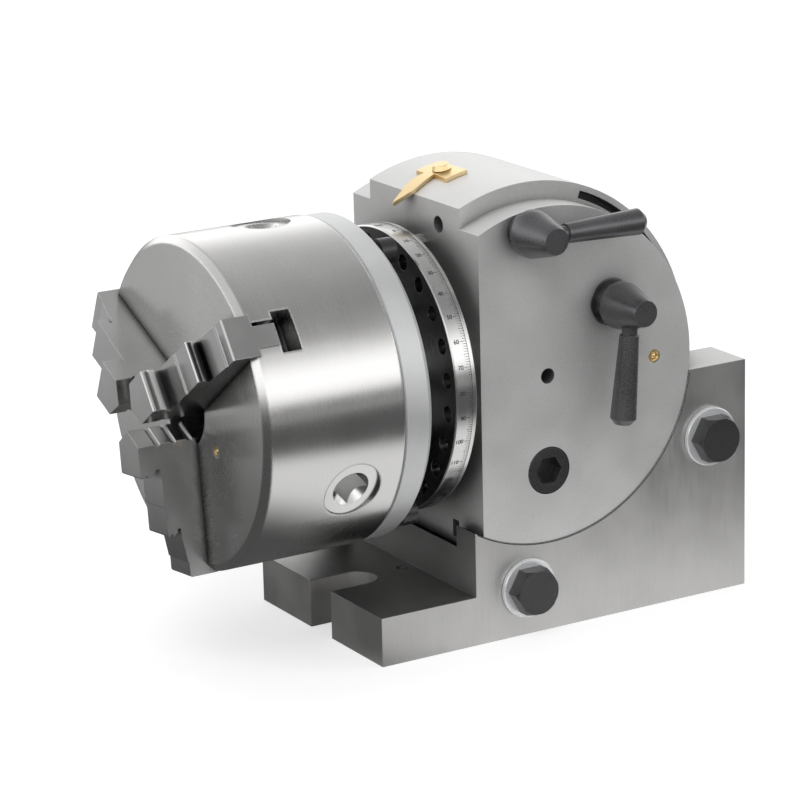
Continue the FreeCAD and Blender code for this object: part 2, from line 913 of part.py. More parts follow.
spindle_flange_bores = [
    cylinder(
        "flange_screw_radius",
        "backplate_rear - ring_front + 2 * overcut",
        around_spindle("flange_screw_circle", str(angle), "-backplate_rear - overcut"),
        TO_TAIL,
    )
    for angle in spindle_screw_angles
]
spindle = cut("spindle", spindle_blank, spindle_taper, key_seat, *spindle_flange_bores)
wheel_key = box(
    (
        "2 * wheel_half_width - 2 * seat_clearance",
        "key_width - 2 * seat_clearance",
        "key_height - 2 * seat_clearance",
    ),
    (
        "-wheel_half_width + seat_clearance",
        "-key_width / 2 + seat_clearance",
        "centre_height + wheel_seat_radius - key_height / 2 + seat_clearance",
    ),
)
wheel_key.Label = "wheel_key"
wheel_keyway = box(
    ("2 * wheel_half_width + 2 * overcut", "key_width", "key_height"),
    (
        "-wheel_half_width - overcut",
        "-key_width / 2",
        "centre_height + wheel_seat_radius - key_height / 2",
    ),
)
LEAD_ANGLE = math.degrees(math.atan(SIZES["gear_module"] / (2 * SIZES["worm_pitch_radius"])))
WHEEL_ROOT = "gear_module * wheel_teeth / 2 - 1.25 * gear_module"


def wheel_gap(number):
    """One slanting gap between two teeth of the wheel, wider towards the rim."""
    angle = -90 + 360 * number / SIZES["wheel_teeth"]
    out = Vector(0, -math.cos(math.radians(angle)), math.sin(math.radians(angle)))
    across = Vector(0, math.sin(math.radians(angle)), math.cos(math.radians(angle)))
    lead = -math.radians(LEAD_ANGLE)
    way = Vector(math.cos(lead), across.y * math.sin(lead), across.z * math.sin(lead))
    item = doc.addObject("Part::Wedge", "Gap")
    half_root = "(gear_module * pi / 4 + tooth_backlash / 2 - 1.25 * gear_module * tan(tooth_flank))"
    half_top = "(gear_module * pi / 4 + tooth_backlash / 2 + (gear_module + overcut) * tan(tooth_flank))"
    bind(
        item,
        Xmin=f"-{half_root}",
        Xmax=half_root,
        X2min=f"-{half_top}",
        X2max=half_top,
        Ymin="0",
        Ymax="2.25 * gear_module + overcut",
        Zmin="-wheel_half_width - 2 * overcut",
        Zmax="wheel_half_width + 2 * overcut",
        Z2min="-wheel_half_width - 2 * overcut",
        Z2max="wheel_half_width + 2 * overcut",
    )
    return place(
        item,
        around_spindle(f"({WHEEL_ROOT})", f"({angle})", "0"),
        Rotation(out.cross(way), out, way, "YZX"),
    )


worm_wheel = cut(
    "worm_wheel",
    turned(
        "wheel_blank",
        ring_profile(
            "wheel_seat_radius + seat_clearance",
            "gear_module * wheel_teeth / 2 + gear_module",
            "0",
            "2 * wheel_half_width",
        ),
        ("-wheel_half_width", "0", "centre_height"),
        TO_TAIL,
    ),
    wheel_keyway,
    group("wheel_gaps", *[wheel_gap(number) for number in range(SIZES["wheel_teeth"])]),
)
wheel_nut = turned(
    "wheel_nut",
    ring_profile("tail_radius + seat_clearance", "wheel_nut_radius", "0", "wheel_nut_width"),
    ("wheel_half_width", "0", "centre_height"),
    TO_TAIL,
)
thrust_washer = turned(
    "thrust_washer",
    ring_profile("tail_radius + seat_clearance", "lock_nut_radius", "0", "thrust_thickness", "0.3"),
    ("rear_face", "0", "centre_height"),
    TO_TAIL,
)


def lock_nut(number):
    start = f"rear_face + thrust_thickness + {number} * lock_nut_width"
    blank = turned(
        "nut_blank",
        ring_profile("tail_radius + seat_clearance", "lock_nut_radius", "0", "lock_nut_width"),
        (start, "0", "centre_height"),
        TO_TAIL,
    )
    notches = [
        box(
            ("lock_nut_width + 2 * overcut", "nut_notch", "nut_notch"),
            (
                f"{start} - overcut",
                f"-(lock_nut_radius - nut_notch / 2) * cos({angle}) - nut_notch / 2 * sin({angle})",
                f"centre_height + (lock_nut_radius - nut_notch / 2) * sin({angle})"
                f" - nut_notch / 2 * cos({angle})",
            ),
            radial_turn(angle),
        )
        for angle in (0, 90, 180, 270)
    ]
    return cut("nut", blank, *notches)


rear_lock_nuts = group("rear_lock_nuts", lock_nut(0), lock_nut(1))

# Index ring with its ring of holes, and the backplate that carries the chuck.
index_ring_blank = turned(
    "index_ring_blank",
    ring_profile("journal_radius + seat_clearance", "ring_radius", "0", "ring_front - ring_rear"),
    ("-ring_front", "0", "centre_height"),
    TO_TAIL,
)
ring_pin_holes = [
    cylinder(
        "ring_hole_radius",
        "ring_front - ring_rear + 2 * overcut",
        around_spindle(
            "ring_hole_circle",
            f"index_pin_angle + {k} * 360 / ring_holes",
            "-ring_front - overcut",
        ),
        TO_TAIL,
    )
    for k in range(SIZES["ring_holes"])
]
ring_screw_holes = [
    fuse(
        "ring_screw_hole",
        cylinder(
            "flange_screw_radius",
            "ring_front - ring_rear + 2 * overcut",
            around_spindle("flange_screw_circle", str(angle), "-ring_front - overcut"),
            TO_TAIL,
        ),
        cone(
            "flange_screw_radius",
            "2 * flange_screw_radius",
            "flange_screw_radius",
            around_spindle("flange_screw_circle", str(angle), "-ring_rear - flange_screw_radius"),
            TO_TAIL,
        ),
    )
    for angle in spindle_screw_angles
]
index_ring = cut("index_ring", index_ring_blank, *ring_pin_holes, *ring_screw_holes)


def ring_screw(angle):
    """A countersunk screw that holds the ring against the spindle's flange."""
    head_at = around_spindle("flange_screw_circle", str(angle), "-ring_rear - flange_screw_radius")
    blank = fuse(
        "ring_screw_blank",
        cone(
            "flange_screw_radius - seat_clearance",
            "2 * flange_screw_radius - 2 * seat_clearance",
            "flange_screw_radius - seat_clearance",
            head_at,
            TO_TAIL,
        ),
        cylinder(
            "flange_screw_radius - seat_clearance",
            "ring_screw_length",
            shifted(head_at, TO_TAIL, "-(ring_screw_length)"),
            TO_TAIL,
        ),
    )
    socket = prism(
        "flange_screw_radius * 0.9",
        "flange_screw_radius + overcut",
        shifted(head_at, TO_TAIL, "-flange_screw_radius * 0.2"),
        TO_TAIL,
    )
    return cut("ring_screw", blank, socket)


index_ring_screws = group("index_ring_screws", *[ring_screw(angle) for angle in spindle_screw_angles])
backplate_blank = turned(
    "backplate_blank",
    [
        ("nose_radius + seat_clearance", "0"),
        ("cavity_radius - seat_clearance", "0"),
        ("cavity_radius - seat_clearance", "cover_rear - chuck_rear"),
        ("backplate_radius - 1", "cover_rear - chuck_rear"),
        ("backplate_radius", "cover_rear - chuck_rear + 1"),
        ("backplate_radius", "cover_rear - backplate_rear - 2.5"),
        ("backplate_radius - 2.5", "cover_rear - backplate_rear"),
        ("nose_radius + seat_clearance", "cover_rear - backplate_rear"),
    ],
    ("-cover_rear", "0", "centre_height"),
    TO_TAIL,
)
CHUCK_BOLTS = [f"jaw_angle + 30 + {120 * k}" for k in range(3)]
backplate_bolt_holes = [
    cylinder(
        "chuck_bolt_radius + bolt_hole_clearance / 2",
        "chuck_rear - backplate_rear + 2 * overcut",
        around_spindle("chuck_bolt_circle", angle, "-chuck_rear - overcut"),
        TO_TAIL,
    )
    for angle in CHUCK_BOLTS
]
backplate_screw_seats = [
    fuse(
        "backplate_screw_seat",
        cylinder(
            "flange_screw_radius + seat_clearance",
            "cover_rear - backplate_rear + 2 * overcut",
            around_spindle("flange_screw_circle", str(angle), "-cover_rear - overcut"),
            TO_TAIL,
        ),
        cylinder(
            "1.6 * flange_screw_radius + bolt_hole_clearance",
            "2 * flange_screw_radius + overcut + bolt_hole_clearance",
            around_spindle("flange_screw_circle", str(angle), "-cover_rear - overcut"),
            TO_TAIL,
        ),
    )
    for angle in spindle_screw_angles
]
backplate = cut("backplate", backplate_blank, *backplate_bolt_holes, *backplate_screw_seats)
backplate_screws = group(
    "backplate_screws",
    *[
        cap_screw(
            "flange_screw_radius - seat_clearance",
            "backplate_screw_length",
            around_spindle(
                "flange_screw_circle",
                str(angle),
                "-cover_rear + 2 * flange_screw_radius + bolt_hole_clearance",
            ),
            TO_CHUCK,
        )
        for angle in spindle_screw_angles
    ],
)

# Chuck: body with three jaw slots, scroll, cover, pinions with square sockets, and jaws.
JAWS = [f"jaw_angle + {120 * k}" for k in range(3)]
PINIONS = [f"jaw_angle + 60 + {120 * k}" for k in range(3)]


def jaw_turn(k, extra=0.0):
    """Own Z outwards from the spindle along jaw number k, or so many degrees further round."""
    return radial_turn(SIZES["jaw_angle"] + 120 * k + extra)


def jaw_prism(label, profile, width, k):
    """A block seen from its side in (x, distance from the spindle), centred on a jaw's line."""
    return extruded(label, profile, width, SWIVEL, jaw_turn(k))


def slot_tools(k):
    """The T-shaped slot in which one jaw slides."""
    reach = "chuck_radius + overcut"
    wide = "jaw_width + 2 * running_clearance"
    neck = "jaw_neck_width + 2 * running_clearance"
    spans = [
        ("-chuck_front - overcut", "-jaw_shelf", wide),
        ("-jaw_shelf - overcut", "-jaw_foot_front + overcut", neck),
        ("-jaw_foot_front", "-cavity_front + overcut", wide),
    ]
    return [
        jaw_prism("slot", [(start, "0"), (end, "0"), (end, reach), (start, reach)], width, k)
        for start, end, width in spans
    ]


chuck_blank = turned(
    "chuck_blank",
    [
        ("chuck_bore", "0"),
        ("chuck_bore", "chuck_front - chuck_rear"),
        ("chuck_radius - chuck_edge", "chuck_front - chuck_rear"),
        ("chuck_radius", "chuck_front - chuck_rear - chuck_edge"),
        ("chuck_radius", "0.5"),
        ("chuck_radius - 0.5", "0"),
    ],
    ("-chuck_rear", "0", "centre_height"),
    TO_CHUCK,
)
chuck_cavity = cut(
    "chuck_cavity",
    cylinder(
        "cavity_radius",
        "cavity_front - chuck_rear + overcut",
        ("-cavity_front", "0", "centre_height"),
        TO_TAIL,
    ),
    cylinder(
        "chuck_hub",
        "cavity_front - chuck_rear + 2 * overcut",
        ("-cavity_front - overcut", "0", "centre_height"),
        TO_TAIL,
    ),
)
hub_relief = cylinder(
    "cavity_radius",
    "cover_rear - chuck_rear + overcut",
    ("-cover_rear", "0", "centre_height"),
    TO_TAIL,
)
pinion_bores = [
    cylinder(
        "pinion_radius + running_clearance",
        "chuck_radius",
        ("-pinion_axis", "0", "centre_height"),
        jaw_turn(k, 60),
    )
    for k in range(3)
]
chuck_bolt_bores = [
    cylinder(
        "chuck_bolt_radius + seat_clearance",
        "chuck_bolt_depth + overcut",
        around_spindle("chuck_bolt_circle", angle, "-chuck_rear - chuck_bolt_depth"),
        TO_TAIL,
    )
    for angle in CHUCK_BOLTS
]
face_oiler_bore = cylinder(
    "face_oiler_radius + seat_clearance",
    "face_oiler_length + overcut",
    around_spindle("face_oiler_circle", "face_oiler_angle", "-chuck_front - overcut"),
    TO_TAIL,
)
pin_bores = [
    cylinder(
        "pinion_pin_radius + seat_clearance",
        "pinion_pin_depth + overcut",
        around_spindle("chuck_bolt_circle", angle, "-chuck_rear - pinion_pin_depth"),
        TO_TAIL,
    )
    for angle in PINIONS
]
chuck_hub_core = cylinder(
    "chuck_hub", "2 * chuck_radius", ("-chuck_front", "0", "centre_height"), TO_TAIL
)
chuck_shell = cut(
    "chuck_shell",
    chuck_blank,
    chuck_cavity,
    hub_relief,
    *[cut("pinion_bore", bore, chuck_hub_core) for bore in pinion_bores],
    *chuck_bolt_bores,
    *pin_bores,
    face_oiler_bore,
    *[tool for k in range(3) for tool in slot_tools(k)],
)
chuck_bore_cut = cylinder(
    "chuck_bore", "chuck_front", ("-chuck_front - overcut", "0", "centre_height"), TO_TAIL
)
chuck_body = cut("chuck_body", chuck_shell, chuck_bore_cut)
chuck_cover = turned(
    "chuck_cover",
    ring_profile(
        "chuck_hub + seat_clearance",
        "cavity_radius - seat_clearance",
        "0",
        "cover_front - cover_rear",
    ),
    ("-cover_front", "0", "centre_height"),
    TO_TAIL,
)
scroll = turned(
    "scroll",
    ring_profile(
        "chuck_hub + running_clearance",
        "cavity_radius - running_clearance",
        "0",
        "cavity_front - scroll_rear - running_clearance",
    ),
    ("-cavity_front + running_clearance", "0", "centre_height"),
    TO_TAIL,
)


def jaw_ramp(high, low, inner):
    """The toothed ramp that leads from one step of a jaw down to the next."""
    points = [(f"-chuck_front - {high}", inner)]
    teeth = SIZES["jaw_teeth"]
    for tooth in range(teeth):
        for share, depth in ((tooth + 0.5, "jaw_tooth"), (tooth + 1, "0")):
            part = share / teeth
            points.append(
                (
                    f"-chuck_front - {high} + ({high} - {low}) * {part:.9f} + 0.4 * {depth}",
                    f"{inner} + jaw_ramp * {part:.9f} - 0.9 * {depth}",
                )
            )
    return points


def jaw_notches(k):
    """Round notches across the two gripping faces of a jaw's tip."""
    notches = []
    for side in (-1, 1):
        lean = math.degrees(math.atan2(SIZES["jaw_tip_side"] - SIZES["jaw_tip"], SIZES["jaw_width"] / 2))
        turn = jaw_turn(k) * Rotation(Vector(1, 0, 0), side * (lean - 90))
        for number in range(3):
            at = across_jaw(
                f"-chuck_front - jaw_notch_pitch * ({number} + 0.5)",
                f"{-side} * jaw_notch",
                f"jaw_tip - jaw_notch / 2 - jaw_notch * (jaw_tip_side - jaw_tip) / (jaw_width / 2)",
                k,
            )
            notches.append(cylinder("jaw_notch", "jaw_width", at, turn))
    return notches


def chuck_jaw(k):
    """A stepped jaw with a T-shaped foot, toothed ramps and a V-shaped tip."""
    front = "-chuck_front"
    profile = [
        ("-cavity_front - running_clearance", "jaw_tip"),
        (f"{front} - jaw_step_high", "jaw_tip"),
        *jaw_ramp("jaw_step_high", "jaw_step_mid", "jaw_step_one"),
        *jaw_ramp("jaw_step_mid", "jaw_step_low", "jaw_step_two"),
        (f"{front} - jaw_step_low", "jaw_outer"),
        ("-cavity_front - running_clearance", "jaw_outer"),
    ]
    grooves = []
    for side in (-1, 1):
        grooves.append(
            place(
                bind(
                    doc.addObject("Part::Box", "Groove"),
                    Length="jaw_shelf - jaw_foot_front",
                    Width="jaw_width / 2 - jaw_neck_width / 2 + (overcut)",
                    Height="2 * chuck_radius",
                ),
                groove_corner(k, side),
                jaw_turn(k),
            )
        )
    tip_cuts = [tip_wedge(k, side) for side in (-1, 1)]
    blank = jaw_prism("jaw_blank", profile, "jaw_width", k)
    return cut(f"chuck_jaw_{'abc'[k]}", blank, *grooves, *tip_cuts, *jaw_notches(k))


def across_jaw(x, side, out, k):
    """A point given along the spindle, across a jaw's line and out from the spindle."""
    angle = f"(jaw_angle + {120 * k})"
    y = f"-({out}) * cos({angle}) + ({side}) * sin({angle})"
    z = f"centre_height + ({out}) * sin({angle}) + ({side}) * cos({angle})"
    return (x, y, z)


def groove_corner(k, side):
    start = "jaw_neck_width / 2" if side > 0 else "-jaw_width / 2 - overcut"
    return across_jaw("-jaw_shelf", start, "-overcut", k)


def tip_wedge(k, side):
    """The material cut away on one side of a jaw's tip, so that the tip is a V."""
    turn = jaw_turn(k)
    lean = math.degrees(math.atan2(SIZES["jaw_tip_side"] - SIZES["jaw_tip"], SIZES["jaw_width"] / 2))
    wedge_turn = turn * Rotation(Vector(1, 0, 0), side * lean)
    depth = "3 * jaw_tip"
    width = "jaw_width"
    way = Rotation(Vector(1, 0, 0), side * lean)
    # The wedge's top face passes through the tip's edge, and its corner is found from there.
    corner = way.multVec(Vector(0, 0 if side > 0 else -SIZES["jaw_width"], -3 * SIZES["jaw_tip"]))
    at = across_jaw(
        "-chuck_front - 2 * jaw_step_high",
        f"{corner.y:.9f}",
        f"jaw_tip + {corner.z:.9f}",
        k,
    )
    return box(("chuck_front", width, depth), at, wedge_turn)


jaws = [chuck_jaw(k) for k in range(3)]


def pinion(k):
    """A pinion that turns the scroll, with a square socket for the chuck key."""
    turn = jaw_turn(k, 60)
    base = ("-pinion_axis", "0", "centre_height")
    blank = fuse(
        "pinion_blank",
        cylinder(
            "pinion_radius",
            "chuck_radius - pinion_sink - cavity_radius + pinion_collar",
            shifted(base, turn, "cavity_radius - pinion_collar"),
            turn,
        ),
        cone(
            "pinion_gear_small",
            "pinion_radius",
            "cavity_radius - pinion_collar - pinion_inner",
            shifted(base, turn, "pinion_inner"),
            turn,
        ),
    )
    socket = prism(
        "pinion_square * 0.70711",
        "pinion_socket_depth + overcut",
        shifted(base, turn, "chuck_radius - pinion_sink - pinion_socket_depth"),
        turn,
        4,
    )
    mouth = cone(
        "pinion_square * 0.70711 + 0.2",
        "pinion_square / 2",
        "pinion_mouth",
        shifted(base, turn, "chuck_radius - pinion_sink"),
        turn * Rotation(Vector(1, 0, 0), 180),
    )
    neck = cut(
        "neck",
        cylinder(
            "pinion_radius + overcut",
            "2 * pinion_pin_radius + running_clearance",
            shifted(base, turn, "chuck_bolt_circle - pinion_pin_radius - running_clearance / 2"),
            turn,
        ),
        cylinder(
            "pinion_axis - chuck_rear - pinion_pin_depth - running_clearance",
            "chuck_radius",
            shifted(base, turn, "cavity_radius - pinion_collar"),
            turn,
        ),
    )
    return cut(f"chuck_pinion_{'abc'[k]}", blank, socket, mouth, neck)


pinions = [pinion(k) for k in range(3)]
pinion_pins = group(
    "pinion_pins",
    *[
        cylinder(
            "pinion_pin_radius",
            "pinion_pin_depth - running_clearance",
            around_spindle(
                "chuck_bolt_circle",
                angle,
                "-chuck_rear - pinion_pin_depth + running_clearance",
            ),
            TO_TAIL,
        )
        for angle in PINIONS
    ],
)
chuck_bolts = group(
    "chuck_bolts",
    *[
        cap_screw(
            "chuck_bolt_radius",
            "chuck_rear - backplate_rear + chuck_bolt_depth - overcut",
            around_spindle("chuck_bolt_circle", angle, "-backplate_rear"),
            TO_TAIL,
        )
        for angle in CHUCK_BOLTS
    ],
)


def ball_oiler(label, radius, length, at, turn):
    """A press-in oiler: a brass cup with a ball in its mouth, its own Z pointing inwards."""
    mouth = cut(
        label + "_mouth",
        cylinder(f"0.72 * ({radius})", f"0.3 * ({radius})", shifted(at, turn, "-overcut / 10"), turn),
        sphere(f"0.5 * ({radius})", shifted(at, turn, f"0.5 * ({radius})")),
    )
    return cut(label, cylinder(radius, length, at, turn), mouth)


chuck_oiler = ball_oiler(
    "chuck_oiler",
    "face_oiler_radius",
    "face_oiler_length",
    around_spindle("face_oiler_circle", "face_oiler_angle", "-chuck_front"),
    TO_TAIL,
)

# Worm shaft in its eccentric sleeve, which swings the worm out of the wheel.
WORM_LINE = ("0", "0", WORM_HEIGHT)
SLEEVE_LINE = ("sleeve_offset", "0", WORM_HEIGHT)


def along(line, y):
    return (line[0], y, line[2])


sleeve_blank = fuse(
    "sleeve_blank",
    cylinder(
        "sleeve_radius",
        "sleeve_near + sleeve_far",
        along(SLEEVE_LINE, "-sleeve_near + running_clearance"),
        TO_FAR,
    ),
    cylinder("sleeve_flange_radius", "plate_face - sleeve_far", along(WORM_LINE, "sleeve_far"), TO_FAR),
    cylinder("boss_radius", "boss_end - sleeve_far", along(WORM_LINE, "sleeve_far"), TO_FAR),
)
worm_space = cylinder(
    "worm_pitch_radius + gear_module + worm_play",
    "worm_half_length + boss_end + overcut",
    along(WORM_LINE, "-worm_half_length - running_clearance"),
    TO_FAR,
)
near_journal_bore = cylinder(
    "worm_journal_radius + running_clearance",
    "sleeve_near + overcut",
    along(WORM_LINE, "-sleeve_near - overcut"),
    TO_FAR,
)


def wheel_relief(angle):
    """Room for the wheel in the sleeve, turned as the sleeve turns below it."""
    turn = Rotation(Vector(0, 1, 0), angle)
    way = turn.multVec(Vector(-SIZES["sleeve_radius"] * 1.2, 0, 0))
    lift = turn.multVec(Vector(0, 0, 1))
    height = "worm_pitch_radius - gear_module - worm_play"
    return box(
        ("2.4 * sleeve_radius", "2 * wheel_relief_half", "sleeve_radius"),
        (
            f"sleeve_offset + {way.x:.9f} + ({height}) * {lift.x:.9f}",
            "-wheel_relief_half",
            f"{WORM_HEIGHT} + {way.z:.9f} + ({height}) * {lift.z:.9f}",
        ),
        turn,
    )


plate_screw_bores = [
    cylinder(
        "plate_screw_radius + seat_clearance",
        "plate_face - sleeve_far + overcut",
        (
            f"plate_screw_circle * cos({angle})",
            "sleeve_far",
            f"{WORM_HEIGHT} + plate_screw_circle * sin({angle})",
        ),
        TO_FAR,
    )
    for angle in PLATE_SCREWS
]
release_bore = cylinder(
    "release_stub_radius + seat_clearance",
    "sleeve_flange_radius",
    ("boss_radius + overcut", "(sleeve_far + plate_face) / 2", WORM_HEIGHT),
    TO_TAIL,
)
worm_sleeve = cut(
    "worm_sleeve",
    sleeve_blank,
    worm_space,
    near_journal_bore,
    wheel_relief(0),
    wheel_relief(45),
    wheel_relief(90),
    *plate_screw_bores,
    release_bore,
)
worm_bush = turned(
    "worm_bush",
    ring_profile(
        "worm_shaft_radius + running_clearance",
        "worm_pitch_radius + gear_module + worm_play - seat_clearance",
        "0",
        "boss_end - worm_half_length - running_clearance",
    ),
    along(WORM_LINE, "worm_half_length + running_clearance"),
    TO_FAR,
)
release_lever = fuse(
    "release_lever",
    cylinder(
        "release_stub_radius",
        "sleeve_flange_radius - boss_radius - overcut + release_length",
        ("boss_radius + overcut + running_clearance", "(sleeve_far + plate_face) / 2", WORM_HEIGHT),
        TO_TAIL,
    ),
    sphere(
        "release_knob_radius",
        ("sleeve_flange_radius + release_length", "(sleeve_far + plate_face) / 2", WORM_HEIGHT),
    ),
)
worm_plug = cut(
    "worm_plug",
    turned(
        "plug_blank",
        ring_profile("0", "plug_radius - seat_clearance", "0", "plug_length"),
        along(WORM_LINE, "-disc_half_width + plug_length"),
        TO_NEAR,
    ),
    prism(
        "plug_socket_radius",
        "plug_length",
        along(WORM_LINE, "-disc_half_width + 0.65 * plug_length"),
        TO_NEAR,
    ),
)

# Index plate with its circles of holes, sector arms, crank and plunger.
plate_blank = turned(
    "plate_blank",
    ring_profile("boss_radius + seat_clearance", "plate_radius", "0", "plate_thickness"),
    along(WORM_LINE, "plate_face"),
    TO_FAR,
)
PLATE_CIRCLES = {20: "0", 18: "1", 16: "2"}
plate_holes = [
    cylinder(
        "plate_hole_radius",
        "plate_thickness + 2 * overcut",
        (
            f"(hole_circle_outer - {ring} * hole_circle_step) * cos({k} * 360 / {count})",
            "plate_face - overcut",
            f"{WORM_HEIGHT} + (hole_circle_outer - {ring} * hole_circle_step)"
            f" * sin({k} * 360 / {count})",
        ),
        TO_FAR,
    )
    for count, ring in PLATE_CIRCLES.items()
    for k in range(count)
]
plate_screw_seats = [
    cylinder(
        "plate_screw_radius + bolt_hole_clearance / 2",
        "plate_thickness + 2 * overcut",
        (
            f"plate_screw_circle * cos({angle})",
            "plate_face - overcut",
            f"{WORM_HEIGHT} + plate_screw_circle * sin({angle})",
        ),
        TO_FAR,
    )
    for angle in PLATE_SCREWS
]
plate_screw_heads = [
    cylinder(
        "1.6 * plate_screw_radius + bolt_hole_clearance",
        "2 * plate_screw_radius + overcut + seat_clearance",
        (
            f"plate_screw_circle * cos({angle})",
            "plate_face + plate_thickness - 2 * plate_screw_radius - seat_clearance",
            f"{WORM_HEIGHT} + plate_screw_circle * sin({angle})",
        ),
        TO_FAR,
    )
    for angle in PLATE_SCREWS
]
index_plate = cut("index_plate", plate_blank, *plate_holes, *plate_screw_seats, *plate_screw_heads)
index_plate_screws = group(
    "index_plate_screws",
    *[
        cap_screw(
            "plate_screw_radius",
            "plate_thickness + plate_face - sleeve_far"
            " - 2 * plate_screw_radius - seat_clearance - overcut",
            (
                f"plate_screw_circle * cos({angle})",
                "plate_face + plate_thickness - 2 * plate_screw_radius - seat_clearance",
                f"{WORM_HEIGHT} + plate_screw_circle * sin({angle})",
            ),
            TO_FAR,
        )
        for angle in PLATE_SCREWS
    ],
)


def sector_arm(label, layer, angle):
    """A flat arm on a ring round the sleeve's boss, at so many degrees from the tail upwards."""
    level = f"{layer} * (sector_thickness + running_clearance)"
    start = f"plate_face + plate_thickness + running_clearance + {level}"
    turn = Rotation(Vector(0, 1, 0), -angle)
    ring = cylinder("boss_radius + sector_rim", "sector_thickness", along(WORM_LINE, start), TO_FAR)
    arm = box(
        ("plate_radius", "sector_thickness", "sector_width"),
        along(WORM_LINE, start),
        turn,
    )
    bore = cylinder(
        "boss_radius + running_clearance",
        "2 * sector_thickness",
        along(WORM_LINE, f"{start} - overcut"),
        TO_FAR,
    )
    return cut(label, fuse(label + "_blank", ring, arm), bore)


sector_arm_a = sector_arm("sector_arm_a", 0, 50)
sector_arm_b = sector_arm("sector_arm_b", 1, 140)
worm_core = cylinder(
    "worm_pitch_radius - 1.25 * gear_module",
    "2 * worm_half_length",
    along(WORM_LINE, "-worm_half_length"),
    TO_FAR,
)


def worm_thread():
    """The worm's right-hand thread, whose crest meets the wheel's lowest gap."""
    half = "(gear_module * pi / 4 - thread_thinning)"
    root = f"({half} + 1.25 * gear_module * tan(tooth_flank) + worm_sink * tan(tooth_flank))"
    crest = f"({half} - gear_module * tan(tooth_flank))"
    start = "worm_pitch_radius - 1.25 * gear_module - worm_sink"
    end = "worm_pitch_radius + gear_module"
    body = doc.addObject("PartDesign::Body", "Thread")
    feature = body.newObject("PartDesign::AdditiveHelix", "Helix")
    feature.Profile = outline(
        body, "XZ_Plane", [(start, f"-{root}"), (end, f"-{crest}"), (end, crest), (start, root)]
    )
    feature.ReferenceAxis = (feature.Profile[0], ["V_Axis"])
    feature.Mode = "pitch-turns-angle"
    bind(feature, Pitch="gear_module * pi", Turns="worm_turns")
    at = along(WORM_LINE, "-gear_module * pi * worm_turns / 2")
    return place(body, at, TO_FAR * Rotation(Vector(0, 0, 1), 180))


worm_shaft = fuse(
    "worm_shaft",
    worm_core,
    worm_thread(),
    cylinder(
        "worm_journal_radius",
        "sleeve_near - worm_half_length - overcut",
        along(WORM_LINE, "-sleeve_near + overcut"),
        TO_FAR,
    ),
    cylinder(
        "worm_shaft_radius",
        "boss_end - worm_half_length",
        along(WORM_LINE, "worm_half_length"),
        TO_FAR,
    ),
    cylinder(
        "worm_shaft_radius - 1",
        "crank_end - boss_end + crank_nut_height + 1",
        along(WORM_LINE, "boss_end"),
        TO_FAR,
    ),
)
crank_arm = cut(
    "crank_arm",
    fuse(
        "crank_blank",
        cylinder(
            "crank_hub_radius",
            "crank_end - boss_end - running_clearance",
            along(WORM_LINE, "boss_end + running_clearance"),
            TO_FAR,
        ),
        box(
            ("crank_reach", "crank_thickness", "crank_width"),
            ("0", "boss_end + running_clearance", f"{WORM_HEIGHT} - crank_width / 2"),
        ),
        cylinder(
            "crank_width / 2",
            "crank_thickness",
            ("crank_reach", "boss_end + running_clearance", WORM_HEIGHT),
            TO_FAR,
        ),
    ),
    cylinder(
        "worm_shaft_radius - 1 + seat_clearance",
        "2 * crank_thickness",
        along(WORM_LINE, "boss_end - overcut"),
        TO_FAR,
    ),
    box(
        ("crank_reach - crank_slot_start", "2 * crank_thickness", "crank_slot_width"),
        ("crank_slot_start", "boss_end - overcut", f"{WORM_HEIGHT} - crank_slot_width / 2"),
    ),
    cylinder(
        "crank_slot_width / 2",
        "2 * crank_thickness",
        ("crank_reach", "boss_end - overcut", WORM_HEIGHT),
        TO_FAR,
    ),
    cylinder(
        "crank_slot_width / 2",
        "2 * crank_thickness",
        ("crank_slot_start", "boss_end - overcut", WORM_HEIGHT),
        TO_FAR,
    ),
)
crank_nut = cut(
    "crank_nut",
    common(
        "nut_form",
        prism("crank_nut_radius", "crank_nut_height", along(WORM_LINE, "crank_end"), TO_FAR),
        cone(
            "crank_nut_radius + 4",
            "crank_nut_radius - 1",
            "crank_nut_height + 0.01",
            along(WORM_LINE, "crank_end"),
            TO_FAR,
        ),
    ),
    cylinder(
        "worm_shaft_radius - 1 + seat_clearance",
        "2 * crank_nut_height",
        along(WORM_LINE, "crank_end - overcut"),
        TO_FAR,
    ),
)
PLUNGER_LINE = ("hole_circle_outer", "0", WORM_HEIGHT)
CRANK_FACE = "boss_end + running_clearance + crank_thickness"
plunger_body = cut(
    "plunger_body",
    fuse(
        "plunger_body_blank",
        cylinder(
            "crank_slot_width / 2 - running_clearance",
            "crank_thickness + overcut",
            along(PLUNGER_LINE, "boss_end + running_clearance"),
            TO_FAR,
        ),
        cylinder("plunger_flange_radius", "plunger_flange", along(PLUNGER_LINE, CRANK_FACE), TO_FAR),
        cylinder("plunger_body_radius", "plunger_length", along(PLUNGER_LINE, CRANK_FACE), TO_FAR),
    ),
    cylinder(
        "plunger_pin_radius + running_clearance",
        "2 * plunger_length",
        along(PLUNGER_LINE, "boss_end - overcut"),
        TO_FAR,
    ),
    cylinder(
        "plunger_spring_radius",
        "plunger_length - 2 * plunger_cap",
        along(PLUNGER_LINE, f"{CRANK_FACE} + plunger_cap"),
        TO_FAR,
    ),
)
plunger_pin = fuse(
    "plunger_pin",
    cylinder(
        "plunger_pin_radius",
        f"{CRANK_FACE} + plunger_length + plunger_knob_gap"
        " + plunger_knob_length / 2 - boss_end + overcut / 2",
        along(PLUNGER_LINE, "boss_end - overcut / 2"),
        TO_FAR,
    ),
    cylinder(
        "plunger_spring_radius - running_clearance",
        "plunger_collar",
        along(PLUNGER_LINE, f"{CRANK_FACE} + plunger_cap + plunger_knob_gap"),
        TO_FAR,
    ),
)
